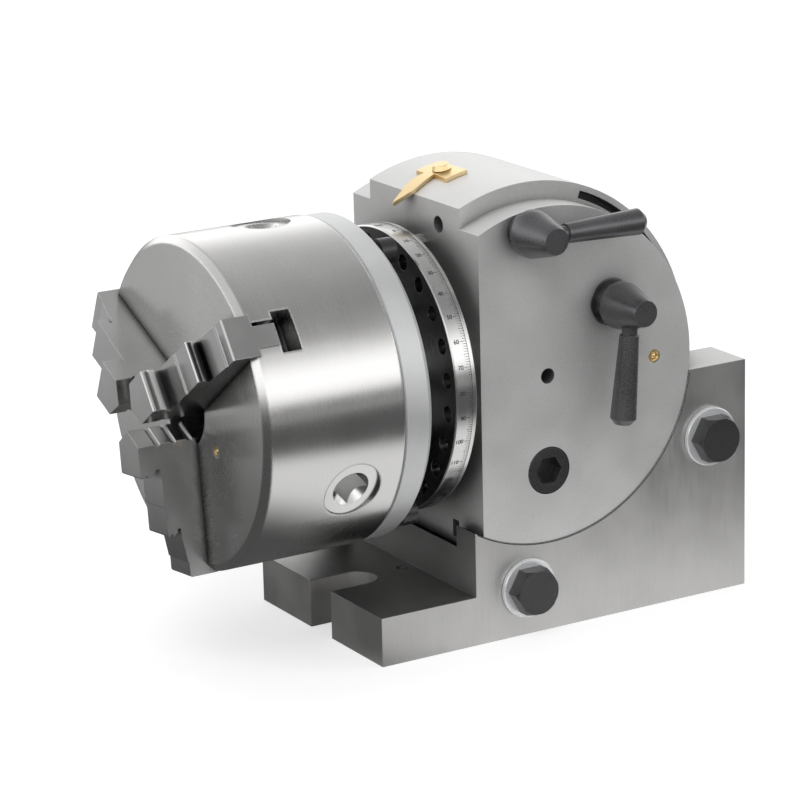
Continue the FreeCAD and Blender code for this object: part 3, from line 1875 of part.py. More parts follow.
plunger_knob = cut(
    "plunger_knob",
    turned(
        "knob_blank",
        [
            ("0", "0"),
            ("plunger_body_radius", "0"),
            ("plunger_body_radius", "0.2 * plunger_knob_length"),
            ("plunger_flange_radius", "0.35 * plunger_knob_length"),
            ("plunger_flange_radius", "0.85 * plunger_knob_length"),
            ("0.7 * plunger_flange_radius", "plunger_knob_length"),
            ("0", "plunger_knob_length"),
        ],
        along(PLUNGER_LINE, f"{CRANK_FACE} + plunger_length + plunger_knob_gap"),
        TO_FAR,
    ),
    cylinder(
        "plunger_pin_radius + seat_clearance",
        "plunger_knob_length / 2 + overcut",
        along(PLUNGER_LINE, f"{CRANK_FACE} + plunger_length + plunger_knob_gap - overcut"),
        TO_FAR,
    ),
)

# Direct index pin in the housing, worked by the upper lever through a finger.
index_pin_blank = cylinder(
    "index_pin_radius",
    "index_pin_length",
    around_spindle("ring_hole_circle", "index_pin_angle", "-ring_rear + index_pin_retreat"),
    TO_TAIL,
)
PIN_Y = "-ring_hole_circle * cos(index_pin_angle)"
PIN_Z = "centre_height + ring_hole_circle * sin(index_pin_angle)"
finger_slot = box(
    (
        "2 * finger_radius + 8 * finger_play",
        "2 * finger_radius + 2 * finger_play",
        "2 * index_pin_radius",
    ),
    (
        "index_lever_x - finger_radius - 4 * finger_play",
        f"{PIN_Y} - finger_radius - finger_play",
        f"{PIN_Z} - 1.2",
    ),
)
index_pin = cut("index_pin", index_pin_blank, finger_slot)


def lever_hub(label, x, z):
    return turned(
        label,
        [
            ("lever_stub_radius + seat_clearance", "0"),
            ("lever_hub_radius - 2.5", "0"),
            ("lever_hub_radius - 2.5", "lever_collar - 1"),
            ("lever_hub_radius", "lever_collar"),
            ("lever_hub_radius", "lever_collar + 3"),
            ("lever_cap_radius + 0.6", "lever_collar + lever_hub_length - 1.5"),
            ("lever_cap_radius", "lever_collar + lever_hub_length"),
            ("0", "lever_collar + lever_hub_length"),
            ("0", "lever_collar + lever_hub_length - 4"),
            ("lever_stub_radius + seat_clearance", "lever_collar + lever_hub_length - 4"),
        ],
        (x, "-disc_half_width - running_clearance", z),
        TO_NEAR,
    )


HANDLE_Y = "-disc_half_width - lever_collar - 0.45 * lever_hub_length"


def handle_bore(x, z, turn):
    base = (x, HANDLE_Y, z)
    return cylinder(
        "handle_stub_radius + seat_clearance",
        "2 * lever_hub_radius",
        shifted(base, turn, "lever_stub_radius + 0.5"),
        turn,
    )


def lever_handle(label, x, z, turn):
    """A round bar that thickens towards its rounded end."""
    base = (x, HANDLE_Y, z)
    end = shifted(base, turn, "handle_length")
    return fuse(
        label,
        cylinder(
            "handle_stub_radius",
            "lever_hub_radius",
            shifted(base, turn, "lever_stub_radius + 0.5 + seat_clearance"),
            turn,
        ),
        cone(
            "handle_root_radius",
            "handle_end_radius",
            "handle_length - lever_hub_radius - overcut",
            shifted(base, turn, "lever_hub_radius + overcut"),
            turn,
        ),
        cone("handle_end_radius", "0.62 * handle_end_radius", "0.45 * handle_end_radius", end, turn),
    )


LOCK_HANDLE = Rotation(Vector(0, 0, 1), Vector(-0.095, 0, -0.995))
index_lever_hub = cut(
    "index_lever_hub",
    lever_hub("hub_blank", "index_lever_x", "index_lever_z"),
    handle_bore("index_lever_x", "index_lever_z", TO_TAIL),
)
index_lever_handle = lever_handle("index_lever_handle", "index_lever_x", "index_lever_z", TO_TAIL)
lock_lever_hub = cut(
    "lock_lever_hub",
    lever_hub("hub_blank", "lock_lever_x", "lock_lever_z"),
    handle_bore("lock_lever_x", "lock_lever_z", LOCK_HANDLE),
)
lock_lever_handle = lever_handle("lock_lever_handle", "lock_lever_x", "lock_lever_z", LOCK_HANDLE)


def lever_shaft(label, x, z, radius, inner_end):
    """A shaft in the housing with a thinner stub that carries the lever's hub."""
    return fuse(
        label,
        cylinder(
            radius,
            f"disc_half_width + running_clearance + ({inner_end})",
            (x, "-disc_half_width - running_clearance", z),
            TO_FAR,
        ),
        cylinder(
            "lever_stub_radius",
            "lever_collar + lever_hub_length - lever_stub_short - seat_clearance",
            (
                x,
                "-disc_half_width - lever_collar - lever_hub_length"
                " + lever_stub_short - running_clearance + seat_clearance",
                z,
            ),
            TO_FAR,
        ),
    )


index_finger = cylinder("finger_radius", "index_finger_length", ("index_lever_x", PIN_Y, PIN_Z))
index_lever_shaft = cut(
    "index_lever_shaft",
    lever_shaft(
        "shaft_blank",
        "index_lever_x",
        "index_lever_z",
        "lever_shaft_radius",
        "index_shaft_end",
    ),
    cylinder(
        "finger_radius + seat_clearance",
        "index_finger_length + overcut",
        ("index_lever_x", PIN_Y, f"{PIN_Z} - overcut"),
    ),
)
index_finger.Label = "index_finger"

# Spindle lock: a screw on the lower lever draws two brass pads together on the spindle.
spindle_way = cylinder(
    "tail_radius + running_clearance",
    "rear_face",
    ("wheel_half_width + wheel_nut_width", "0", "centre_height"),
    TO_TAIL,
)


def lock_pad(start, bore):
    return cut(
        "pad",
        cylinder(
            "lock_pad_radius",
            "lock_pad_length",
            ("lock_lever_x", start, "lock_lever_z"),
            TO_FAR,
        ),
        spindle_way,
        cylinder(
            bore,
            "2 * lock_pad_length",
            ("lock_lever_x", f"{start} - overcut", "lock_lever_z"),
            TO_FAR,
        ),
    )


lock_pads = group(
    "lock_pads",
    lock_pad("-lock_pad_length - lock_pad_gap", "lever_shaft_radius + bolt_hole_clearance / 2"),
    lock_pad("lock_pad_gap", "lever_shaft_radius + seat_clearance"),
)
lock_guide = turned(
    "lock_guide",
    ring_profile(
        "lever_shaft_radius + running_clearance",
        "lock_pad_radius",
        "0",
        "disc_half_width - lock_pad_length - 2 * lock_pad_gap",
        "0.3",
    ),
    ("lock_lever_x", "-disc_half_width", "lock_lever_z"),
    TO_FAR,
)
lock_screw = lever_shaft(
    "lock_screw",
    "lock_lever_x",
    "lock_lever_z",
    "lever_shaft_radius",
    "lock_pad_gap + lock_pad_length - overcut",
)

# Oilers, pointer and its screw.
near_oiler = ball_oiler(
    "near_oiler",
    "oiler_radius - seat_clearance",
    "oiler_length - seat_clearance",
    ("oiler_x", "-disc_half_width", "centre_height"),
    TO_FAR,
)
pointer_shell = cut(
    "pointer_shell",
    cylinder(
        "rim_radius + pointer_thickness",
        "2 * rim_half_width",
        ("0", "-rim_half_width", "centre_height"),
        TO_FAR,
    ),
    cylinder(
        "rim_radius + seat_clearance",
        "2 * rim_half_width + 2 * overcut",
        ("0", "-rim_half_width - overcut", "centre_height"),
        TO_FAR,
    ),
    box(
        ("rim_radius", "2 * base_half_width", "2 * rim_radius"),
        ("-front_chord - rim_radius", "-base_half_width", "centre_height - rim_radius"),
    ),
)
POINTER_LEAN = math.degrees(
    math.asin(SIZES["front_chord"] / (SIZES["rim_radius"] + SIZES["seat_clearance"])),
)
pointer_needle = box(
    ("pointer_reach + 2 * overcut", "2 * rim_half_width", "pointer_thickness"),
    (
        f"-front_chord - pointer_reach * cos({POINTER_LEAN:.6f})",
        "-rim_half_width",
        "centre_height + sqrt((rim_radius + seat_clearance)^2 - front_chord^2)"
        f" - pointer_reach * sin({POINTER_LEAN:.6f})",
    ),
    Rotation(Vector(0, 1, 0), -POINTER_LEAN),
)
POINTER_OUTLINE = [
    ("-9", "14.5"),
    ("-8.6", "-5"),
    ("-18.8", "-6.3"),
    ("-18", "3.4"),
    ("-front_chord", "-0.6"),
    ("-38.2", "0.5"),
    ("-38.2", "0.8"),
    ("-front_chord", "6.3"),
    ("-24.5", "8.4"),
    ("-19.2", "8.8"),
    ("-19.6", "14"),
]
pointer_area = doc.addObject("PartDesign::Body", "PointerOutline")
pointer_sketch = outline(pointer_area, "XY_Plane", POINTER_OUTLINE)
pointer_pad = pointer_area.newObject("PartDesign::Pad", "Pad")
pointer_pad.Profile = pointer_sketch
bind(pointer_pad, Length="2 * rim_radius")
place(pointer_area, SWIVEL)
POINTER_SCREW_SEAT = shifted(
    ("0", "pointer_screw_y", "centre_height"), POINTER_SCREW_TURN, "rim_radius + pointer_thickness"
)
pointer = cut(
    "pointer",
    common("pointer_blank", fuse("pointer_form", pointer_shell, pointer_needle), pointer_area),
    cylinder(
        "pointer_screw_radius + seat_clearance",
        "2 * pointer_thickness",
        shifted(POINTER_SCREW_SEAT, POINTER_SCREW_TURN, "-1.5 * pointer_thickness"),
        POINTER_SCREW_TURN,
    ),
)
pointer_screw = cut(
    "pointer_screw",
    fuse(
        "pointer_screw_blank",
        cone(
            "2 * pointer_screw_radius",
            "1.6 * pointer_screw_radius",
            "pointer_screw_radius",
            shifted(POINTER_SCREW_SEAT, POINTER_SCREW_TURN, "0.15"),
            POINTER_SCREW_TURN,
        ),
        cylinder(
            "pointer_screw_radius",
            "pointer_screw_length",
            shifted(POINTER_SCREW_SEAT, POINTER_SCREW_TURN, "0.2 - (pointer_screw_length)"),
            POINTER_SCREW_TURN,
        ),
    ),
    box(
        ("5 * pointer_screw_radius", "0.5 * pointer_screw_radius", "pointer_screw_radius"),
        shifted(
            (
                "-2.5 * pointer_screw_radius",
                "pointer_screw_y - 0.25 * pointer_screw_radius",
                "centre_height",
            ),
            POINTER_SCREW_TURN,
            "rim_radius + pointer_thickness + 0.55 * pointer_screw_radius + 0.15",
        ),
        POINTER_SCREW_TURN,
    ),
)

doc.recompute()
PIECES = (
    base_casting, clamp_shoes, clamp_washers, clamp_bolts, swivel_housing, front_bearing,
    front_bearing_screws, front_bush, rear_bush, spindle, worm_wheel, wheel_key, wheel_nut, thrust_washer,
    rear_lock_nuts, index_ring, index_ring_screws, backplate, backplate_screws,
    chuck_body, chuck_cover, scroll, *jaws, *pinions, pinion_pins, chuck_bolts, chuck_oiler,
    worm_sleeve, worm_bush, release_lever, worm_plug, index_plate, index_plate_screws,
    sector_arm_a, sector_arm_b, worm_shaft, crank_arm, crank_nut, plunger_body, plunger_pin,
    plunger_knob, index_pin, index_lever_hub, index_lever_handle, index_lever_shaft, index_finger,
    lock_lever_hub, lock_lever_handle, lock_screw, lock_guide, lock_pads, near_oiler, pointer,
    pointer_screw,
)
for item in doc.Objects:
    if "Invalid" in item.State or "Error" in item.State:
        raise RuntimeError(f"{item.Label} has state {item.State}")
for piece in PIECES:
    if piece.Shape.isNull() or not piece.Shape.isValid():
        raise RuntimeError(f"{piece.Label} has no valid shape")
    piece.Shape.exportStep(f"parts/{piece.Label}.step")
    print(piece.Label, round(piece.Shape.Volume), len(piece.Shape.Solids))
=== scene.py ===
"""Dresses the dividing head: finishes, stepped jaws, the ring's rim and scale, light and camera."""

import json
import logging
import math
from dataclasses import dataclass, field
from enum import Enum

import bmesh
import bpy
from mathutils import Matrix, Vector

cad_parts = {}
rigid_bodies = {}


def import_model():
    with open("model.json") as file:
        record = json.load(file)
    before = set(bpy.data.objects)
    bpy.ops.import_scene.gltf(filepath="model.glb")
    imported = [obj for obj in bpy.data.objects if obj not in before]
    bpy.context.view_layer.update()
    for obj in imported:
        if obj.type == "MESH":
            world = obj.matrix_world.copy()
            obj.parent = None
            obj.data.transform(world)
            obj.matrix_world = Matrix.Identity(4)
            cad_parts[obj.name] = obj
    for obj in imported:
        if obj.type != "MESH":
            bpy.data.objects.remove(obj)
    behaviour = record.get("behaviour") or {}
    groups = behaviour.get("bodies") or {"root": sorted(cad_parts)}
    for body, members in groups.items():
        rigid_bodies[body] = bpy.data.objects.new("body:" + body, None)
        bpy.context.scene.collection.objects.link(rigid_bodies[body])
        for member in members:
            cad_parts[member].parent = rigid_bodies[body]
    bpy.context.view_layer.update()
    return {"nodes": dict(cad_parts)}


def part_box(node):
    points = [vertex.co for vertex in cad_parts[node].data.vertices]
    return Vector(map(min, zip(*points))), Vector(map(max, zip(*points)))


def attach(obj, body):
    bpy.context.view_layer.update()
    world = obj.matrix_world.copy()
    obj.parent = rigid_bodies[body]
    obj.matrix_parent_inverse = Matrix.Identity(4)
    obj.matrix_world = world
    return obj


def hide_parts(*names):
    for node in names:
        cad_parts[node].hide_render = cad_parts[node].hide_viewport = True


LOG = logging.getLogger("dividing_head")
SMOOTHER = "round_faces"
MM = 0.001
CENTRE_HEIGHT = 0.100
# The base's painted shade stays over the flange and between the outer faces of the cheeks.
FLANGE_TOP = 0.0184
CHEEK_FACE = 0.0459
# Degrees round the spindle, from the near side upwards.
FULL_TURN = 360
FIRST_JAW_ANGLE = 36.0
JAW_ANGLE_STEP = 120.0


class Lay(Enum):
    """The way in which a cutter or a wheel left its marks on a surface."""

    TURNED = "turned"
    STRAIGHT = "straight"
    BLASTED = "blasted"


class Axis(Enum):
    """One of the head's own directions."""

    SPINDLE = Vector((1.0, 0.0, 0.0))
    SWIVEL = Vector((0.0, 1.0, 0.0))
    UPRIGHT = Vector((0.0, 0.0, 1.0))


class Graph:
    """A short way of writing a node tree."""

    def __init__(self, tree: bpy.types.NodeTree) -> None:
        """Starts an empty tree.

        Args:
            tree: The tree that is cleared and filled.
        """
        self.tree = tree
        tree.nodes.clear()

    def node(self, kind: str, **settings: object) -> bpy.types.Node:
        """Adds a node.

        Args:
            kind: The node's class name.
            settings: Properties set on the node.

        Returns:
            The new node.
        """
        made = self.tree.nodes.new(kind)
        for name, value in settings.items():
            setattr(made, name, value)
        return made

    def feed(self, socket: bpy.types.NodeSocket, value: object) -> None:
        """Links a socket to another socket, or gives it a plain value.

        Args:
            socket: The input.
            value: An output socket or a value.
        """
        if isinstance(value, bpy.types.NodeSocket):
            self.tree.links.new(value, socket)
        else:
            socket.default_value = value

    def math(self, operation: str, *values: object) -> bpy.types.NodeSocket:
        """Adds a number operation.

        Args:
            operation: The operation's name.
            values: Its inputs, sockets or numbers.

        Returns:
            The result.
        """
        made = self.node("ShaderNodeMath", operation=operation)
        for place, value in enumerate(values):
            self.feed(made.inputs[place], value)
        return made.outputs[0]

    def vector(self, operation: str, *values: object) -> bpy.types.NodeSocket:
        """Adds a vector operation.

        Args:
            operation: The operation's name.
            values: Its inputs, sockets or vectors.

        Returns:
            The result, a number for DOT_PRODUCT and LENGTH.
        """
        made = self.node("ShaderNodeVectorMath", operation=operation)
        for place, value in enumerate(values):
            self.feed(made.inputs[place], value)
        number = operation in ("DOT_PRODUCT", "LENGTH")
        return made.outputs["Value" if number else "Vector"]

    def spread(
        self, value: object, low: float, high: float, start: float, end: float
    ) -> bpy.types.NodeSocket:
        """Maps a range onto another, held at its ends.

        Args:
            value: The number to map.
            low: The range's start.
            high: The range's end.
            start: What low becomes.
            end: What high becomes.

        Returns:
            The mapped number.
        """
        made = self.node("ShaderNodeMapRange", interpolation_type="SMOOTHSTEP")
        for place, number in enumerate((value, low, high, start, end)):
            self.feed(made.inputs[place], number)
        return made.outputs[0]

    def noise(
        self, vector: object, scale: float, detail: float, phase: object = None
    ) -> bpy.types.NodeSocket:
        """Adds a noise.

        Args:
            vector: Where it is read.
            scale: Its scale.
            detail: How many finer layers it has.
            phase: A fourth coordinate, if there is one.

        Returns:
            A number from 0 to 1.
        """
        made = self.node("ShaderNodeTexNoise", noise_dimensions="3D" if phase is None else "4D")
        self.feed(made.inputs["Vector"], vector)
        made.inputs["Scale"].default_value = scale
        made.inputs["Detail"].default_value = detail
        if phase is not None:
            self.feed(made.inputs["W"], phase)
        return made.outputs[0]

    def blend(
        self, share: object, first: object, second: object, how: str = "MIX"
    ) -> bpy.types.NodeSocket:
        """Mixes two colours.

        Args:
            share: How much of the second is taken.
            first: A colour.
            second: A colour.
            how: The blend's name.

        Returns:
            The mixed colour.
        """
        made = self.node("ShaderNodeMix", data_type="RGBA", blend_type=how)
        self.feed(made.inputs["Factor"], share)
        self.feed(made.inputs["A"], first)
        self.feed(made.inputs["B"], second)
        return made.outputs["Result"]


@dataclass(frozen=True)
class Finish:
    """A metal surface with the marks that its making left.

    Pitch, depth, rounding and the sizes of the painted shade are in metres. The painted shade is dark
    colour painted where shade falls, in corners and under parts that are nearer than its reach, over the
    height grime_from and within grime_half of the middle plane.
    """

    colour: tuple[float, float, float]
    roughness: float
    lay: Lay = Lay.BLASTED
    axis: Axis = Axis.SPINDLE
    pitch: float = 0.00035
    depth: float = 0.000004
    streak: float = 0.10
    cloud: float = 0.05
    pore: float = 0.0
    # Edges made lighter: partly rubbed bright by use, partly a painted highlight.
    worn: float = 0.25
    rounding: float = 0.0003
    metal: float = 1.0
    directional: float = 0.0
    coat: float = 0.0
    # Painted shade on faces that look forwards along the spindle.
    front_black: float = 0.0
    # Painted shade: dark colour in corners, hollows and under parts, where shade falls.
    grime: float = 0.0
    grime_reach: float = 0.005
    grime_from: float = -1.0
    grime_half: float = 1.0
    grime_edge: float = 0.0005
    grime_open: tuple[float, float] = (0.35, 0.8)
    grime_colour: tuple[float, ...] = (0.02, 0.02, 0.02, 1.0)
    pore_scale: float = 1500.0
    pore_range: tuple[float, float] = (0.62, 0.72)
    pore_colour: tuple[float, ...] = (0.05, 0.05, 0.05, 1.0)
    front_range: tuple[float, float] = (0.9, 0.97)
    front_colour: tuple[float, ...] = (0.04, 0.04, 0.042, 1.0)
    mark_range: tuple[float, float] = (0.25, 0.75)
    cloud_scale: float = 45.0
    cloud_range: tuple[float, float] = (0.3, 0.7)
    cloud_rough: float = 0.03
    wear_range: tuple[float, float] = (0.02, 0.22)
    wear_base: float = 0.35
    wear_gain: float = 0.75
    straight_squeeze: float = 0.975
    turned_scale: float = 2.0
    coat_rough: float = 0.25

    def marks(self, graph: Graph, spot: bpy.types.NodeSocket, centre: Vector) -> tuple[object, object]:
        """Lays the tool marks.

        Args:
            graph: The material's graph.
            spot: The surface point, in the part's own place.
            centre: A point on the axis of turning.

        Returns:
            The marks as a number, and the direction across the marks or None.
        """
        if self.lay is Lay.BLASTED:
            return graph.noise(spot, 1.0 / self.pitch, 3.0), None
        along = self.axis.value
        if self.lay is Lay.STRAIGHT:
            squeeze = Vector([1.0 - self.straight_squeeze * abs(part) for part in along])
            grain = graph.vector("MULTIPLY", spot, squeeze)
            return graph.noise(grain, 1.0 / self.pitch, 3.0), None
        offset = graph.vector("SUBTRACT", spot, centre)
        depth = graph.vector("DOT_PRODUCT", offset, along)
        lengthwise = graph.vector("MULTIPLY", offset, Vector([abs(part) for part in along]))
        flat = graph.vector("SUBTRACT", offset, lengthwise)
        radius = graph.vector("LENGTH", flat)
        way = graph.node("ShaderNodeSeparateXYZ")
        graph.feed(way.inputs[0], graph.vector("NORMALIZE", flat))
        first, second = [place for place, part in enumerate(along) if part == 0.0]
        join = graph.node("ShaderNodeCombineXYZ")
        graph.feed(join.inputs[0], graph.math("DIVIDE", depth, self.pitch))
        graph.feed(join.inputs[1], graph.math("DIVIDE", radius, self.pitch))
        graph.feed(join.inputs[2], graph.math("MULTIPLY", way.outputs[first], self.turned_scale))
        phase = graph.math("MULTIPLY", way.outputs[second], self.turned_scale)
        rings = graph.noise(join.outputs[0], 1.0, 2.0, phase)
        turn = graph.node(
            "ShaderNodeVectorTransform", vector_type="VECTOR", convert_from="OBJECT", convert_to="WORLD"
        )
        graph.feed(turn.inputs[0], graph.vector("CROSS_PRODUCT", along, flat))
        normal = graph.node("ShaderNodeNewGeometry").outputs["Normal"]
        return rings, graph.vector("CROSS_PRODUCT", normal, turn.outputs[0])

    def oiliness(self, graph: Graph, spot: bpy.types.NodeSocket) -> bpy.types.NodeSocket:
        """Finds the corners and the places under parts where painted shade darkens the colour.

        Args:
            graph: The material's graph.
            spot: The surface point, in the part's own place.

        Returns:
            How much of the colour is painted shade.
        """
        open_share = graph.node("ShaderNodeAmbientOcclusion", samples=6)
        open_share.inputs["Distance"].default_value = self.grime_reach
        shaded = graph.spread(open_share.outputs["AO"], *self.grime_open, self.grime, 0.0)
        split = graph.node("ShaderNodeSeparateXYZ")
        graph.feed(split.inputs[0], spot)
        level = self.grime_from
        over = graph.spread(split.outputs[2], level, level + self.grime_edge, 0.0, 1.0)
        side = graph.math("ABSOLUTE", split.outputs[1])
        inside = graph.spread(side, self.grime_half - self.grime_edge, self.grime_half, 1.0, 0.0)
        return graph.math("MULTIPLY", shaded, graph.math("MULTIPLY", over, inside))

    def paint(
        self,
        graph: Graph,
        spot: bpy.types.NodeSocket,
        marks: bpy.types.NodeSocket,
        cloud: bpy.types.NodeSocket,
        wear_and_highlight: bpy.types.NodeSocket,
    ) -> bpy.types.NodeSocket:
        """Mixes the surface's colour.

        Args:
            graph: The material's graph.
            spot: The surface point, in the part's own place.
            marks: The tool marks.
            cloud: The broad change of tone.
            wear_and_highlight: How far an edge is rubbed bright by use and given a painted highlight.

        Returns:
            The colour.
        """
        streaks = graph.spread(marks, *self.mark_range, 1.0 - self.streak, 1.0 + self.streak)
        clouds = graph.spread(cloud, *self.cloud_range, 1.0 - self.cloud, 1.0 + self.cloud)
        tone = graph.math("ADD", graph.math("ADD", streaks, -1.0), clouds)
        colour = graph.blend(1.0, (*self.colour, 1.0), tone, "MULTIPLY")
        if self.pore > 0.0:
            pit = graph.noise(spot, self.pore_scale, 2.0)
            dark = graph.spread(pit, *self.pore_range, 0.0, self.pore)
            colour = graph.blend(dark, colour, self.pore_colour)
        # Faces that look forwards along the spindle get painted shade.
        if self.front_black > 0.0:
            outwards = graph.node("ShaderNodeTexCoord").outputs["Normal"]
            facing = graph.vector("DOT_PRODUCT", outwards, (-1.0, 0.0, 0.0))
            front_shade = graph.spread(facing, *self.front_range, 0.0, self.front_black)
            colour = graph.blend(front_shade, colour, self.front_colour)
        # Edges get a lighter colour: rubbed metal together with a painted highlight.
        bright = tuple(min(1.0, self.wear_base + self.wear_gain * part) for part in self.colour)
        colour = graph.blend(wear_and_highlight, colour, (*bright, 1.0))
        # Painted shade: the colour is darkened in corners, hollows and under parts, where shade falls.
        if self.grime > 0.0:
            colour = graph.blend(self.oiliness(graph, spot), colour, self.grime_colour)
        return colour

    def dress(self, name: str, centre: Vector) -> bpy.types.Material:
        """Builds the material.

        Args:
            name: The material's name.
            centre: A point on the axis of turning.

        Returns:
            The material.
        """
        material = bpy.data.materials.new(name)
        material.use_nodes = True
        graph = Graph(material.node_tree)
        spot = graph.node("ShaderNodeTexCoord").outputs["Object"]
        marks, way = self.marks(graph, spot, centre)
        cloud = graph.noise(spot, self.cloud_scale, 3.0)
        soft = graph.node("ShaderNodeBevel", samples=4)
        soft.inputs["Radius"].default_value = self.rounding
        sharp = graph.node("ShaderNodeNewGeometry").outputs["Normal"]
        # The edge mask lightens the colour: partly rubbing by use, partly a painted highlight.
        edge = graph.math("SUBTRACT", 1.0, graph.vector("DOT_PRODUCT", soft.outputs[0], sharp))
        wear_and_highlight = graph.spread(edge, *self.wear_range, 0.0, self.worn)
        rough = graph.math(
            "ADD", self.roughness, graph.spread(marks, *self.mark_range, -self.streak, self.streak)
        )
        rough = graph.math(
            "ADD", rough, graph.spread(cloud, *self.cloud_range, -self.cloud_rough, self.cloud_rough)
        )
        bump = graph.node("ShaderNodeBump")
        bump.inputs["Strength"].default_value = 1.0
        bump.inputs["Distance"].default_value = self.depth
        graph.feed(bump.inputs["Height"], marks)
        graph.feed(bump.inputs["Normal"], soft.outputs[0])
        shader = graph.node("ShaderNodeBsdfPrincipled")
        graph.feed(shader.inputs["Base Color"], self.paint(graph, spot, marks, cloud, wear_and_highlight))
        graph.feed(shader.inputs["Roughness"], rough)
        graph.feed(shader.inputs["Normal"], bump.outputs[0])
        shader.inputs["Metallic"].default_value = self.metal
        if self.coat > 0.0:
            shader.inputs["Coat Weight"].default_value = self.coat
            shader.inputs["Coat Roughness"].default_value = self.coat_rough
        if self.directional > 0.0 and way is not None:
            shader.inputs["Anisotropic"].default_value = self.directional
            graph.feed(shader.inputs["Tangent"], way)
        graph.feed(graph.node("ShaderNodeOutputMaterial").inputs["Surface"], shader.outputs[0])
        return material


@dataclass(frozen=True)
class Ink:
    """The dark fill of a cut line or figure."""

    colour: tuple[float, float, float] = (0.03, 0.03, 0.03)
    roughness: float = 0.6
    roughness_change: float = 0.2
    patch_scale: float = 900.0
    fading: float = 4.0

    def dress(self, name: str) -> bpy.types.Material:
        """Builds the material.

        Args:
            name: The material's name.

        Returns:
            The material.
        """
        material = bpy.data.materials.new(name)
        material.use_nodes = True
        graph = Graph(material.node_tree)
        spot = graph.node("ShaderNodeTexCoord").outputs["Object"]
        patch = graph.noise(spot, self.patch_scale, 2.0)
        dark = (*self.colour, 1.0)
        faded = (*[self.fading * part for part in self.colour], 1.0)
        colour = graph.blend(graph.spread(patch, 0.45, 0.7, 0.0, 1.0), dark, faded)
        rough = graph.spread(patch, 0.3, 0.7, self.roughness, self.roughness + self.roughness_change)
        shader = graph.node("ShaderNodeBsdfPrincipled")
        graph.feed(shader.inputs["Base Color"], colour)
        graph.feed(shader.inputs["Roughness"], rough)
        graph.feed(graph.node("ShaderNodeOutputMaterial").inputs["Surface"], shader.outputs[0])
        return material


# The dark colour that these finishes put in corners, hollows and under parts is painted shade.
CHUCK_STEEL = Finish(
    (0.72, 0.715, 0.705), 0.25, Lay.TURNED,
    pitch=0.00022, depth=0.0000005, streak=0.025, cloud=0.02, rounding=0.0012, directional=0.75,
    grime=0.95, grime_reach=0.009,
)
PLATE_STEEL = Finish(
    (0.70, 0.705, 0.71), 0.50, Lay.TURNED,
    pitch=0.00025, depth=0.000001, streak=0.02, directional=0.3, metal=0.6,
)
# The ring's dark forward faces are painted shade.
RING_STEEL = Finish(
    (0.72, 0.72, 0.71), 0.24, Lay.TURNED,
    pitch=0.0002, depth=0.0000007, streak=0.04, directional=0.6, front_black=0.9,
    grime=0.97, grime_reach=0.008,
)
NOSE_STEEL = Finish(
    (0.62, 0.62, 0.61), 0.26, Lay.TURNED, pitch=0.0002, depth=0.0000007, directional=0.6
)
CROSS_STEEL = Finish(
    (0.64, 0.64, 0.63), 0.26, Lay.TURNED, Axis.SWIVEL, pitch=0.0002, depth=0.0000007, directional=0.6
)
JAW_STEEL = Finish(
    (0.60, 0.60, 0.595), 0.22, Lay.STRAIGHT, Axis.SWIVEL,
    pitch=0.0002, depth=0.0000003, streak=0.02, worn=0.8, grime=0.95,
)
SOCKET_STEEL = Finish(
    (0.76, 0.76, 0.75), 0.24, Lay.STRAIGHT, pitch=0.0002, depth=0.0000005, streak=0.02, worn=0.6
)
HOUSING_IRON = Finish(
    (0.70, 0.698, 0.692), 0.42,
    pitch=0.0007, depth=0.000004, streak=0.035, cloud=0.03, pore=0.14, worn=0.5, metal=0.5,
    grime=0.8, grime_reach=0.03,
)
BASE_IRON = Finish(
    (0.56, 0.555, 0.547), 0.42, Lay.STRAIGHT, Axis.UPRIGHT,
    pitch=0.0003, depth=0.0000025, streak=0.035, pore=0.1, worn=0.5,
    grime=0.9, grime_reach=0.045, grime_from=FLANGE_TOP, grime_half=CHEEK_FACE,
)
BLACK_STEEL = Finish(
    (0.055, 0.055, 0.058), 0.36,
    pitch=0.0006, depth=0.000004, streak=0.10, cloud=0.15, worn=0.15, metal=0.5, coat=0.1,
)
LEVER_STEEL = Finish(
    (0.13, 0.13, 0.135), 0.32, pitch=0.0005, depth=0.000003, streak=0.08, cloud=0.1, worn=0.12, metal=0.7
)
DARK_STEEL = Finish((0.22, 0.22, 0.225), 0.34, pitch=0.0005, depth=0.000002, streak=0.08, worn=0.25)
ZINC = Finish(
    (0.88, 0.89, 0.90), 0.30, pitch=0.0006, depth=0.0000005, streak=0.02, cloud=0.03, worn=0.3, metal=0.5
)
BRASS = Finish(
    (0.90, 0.70, 0.38), 0.30, Lay.STRAIGHT,
    pitch=0.0002, depth=0.0000003, streak=0.02, cloud=0.03, worn=0.6,
)
BRONZE = Finish((0.55, 0.36, 0.18), 0.32, Lay.TURNED, pitch=0.0002, depth=0.0000007, directional=0.4)

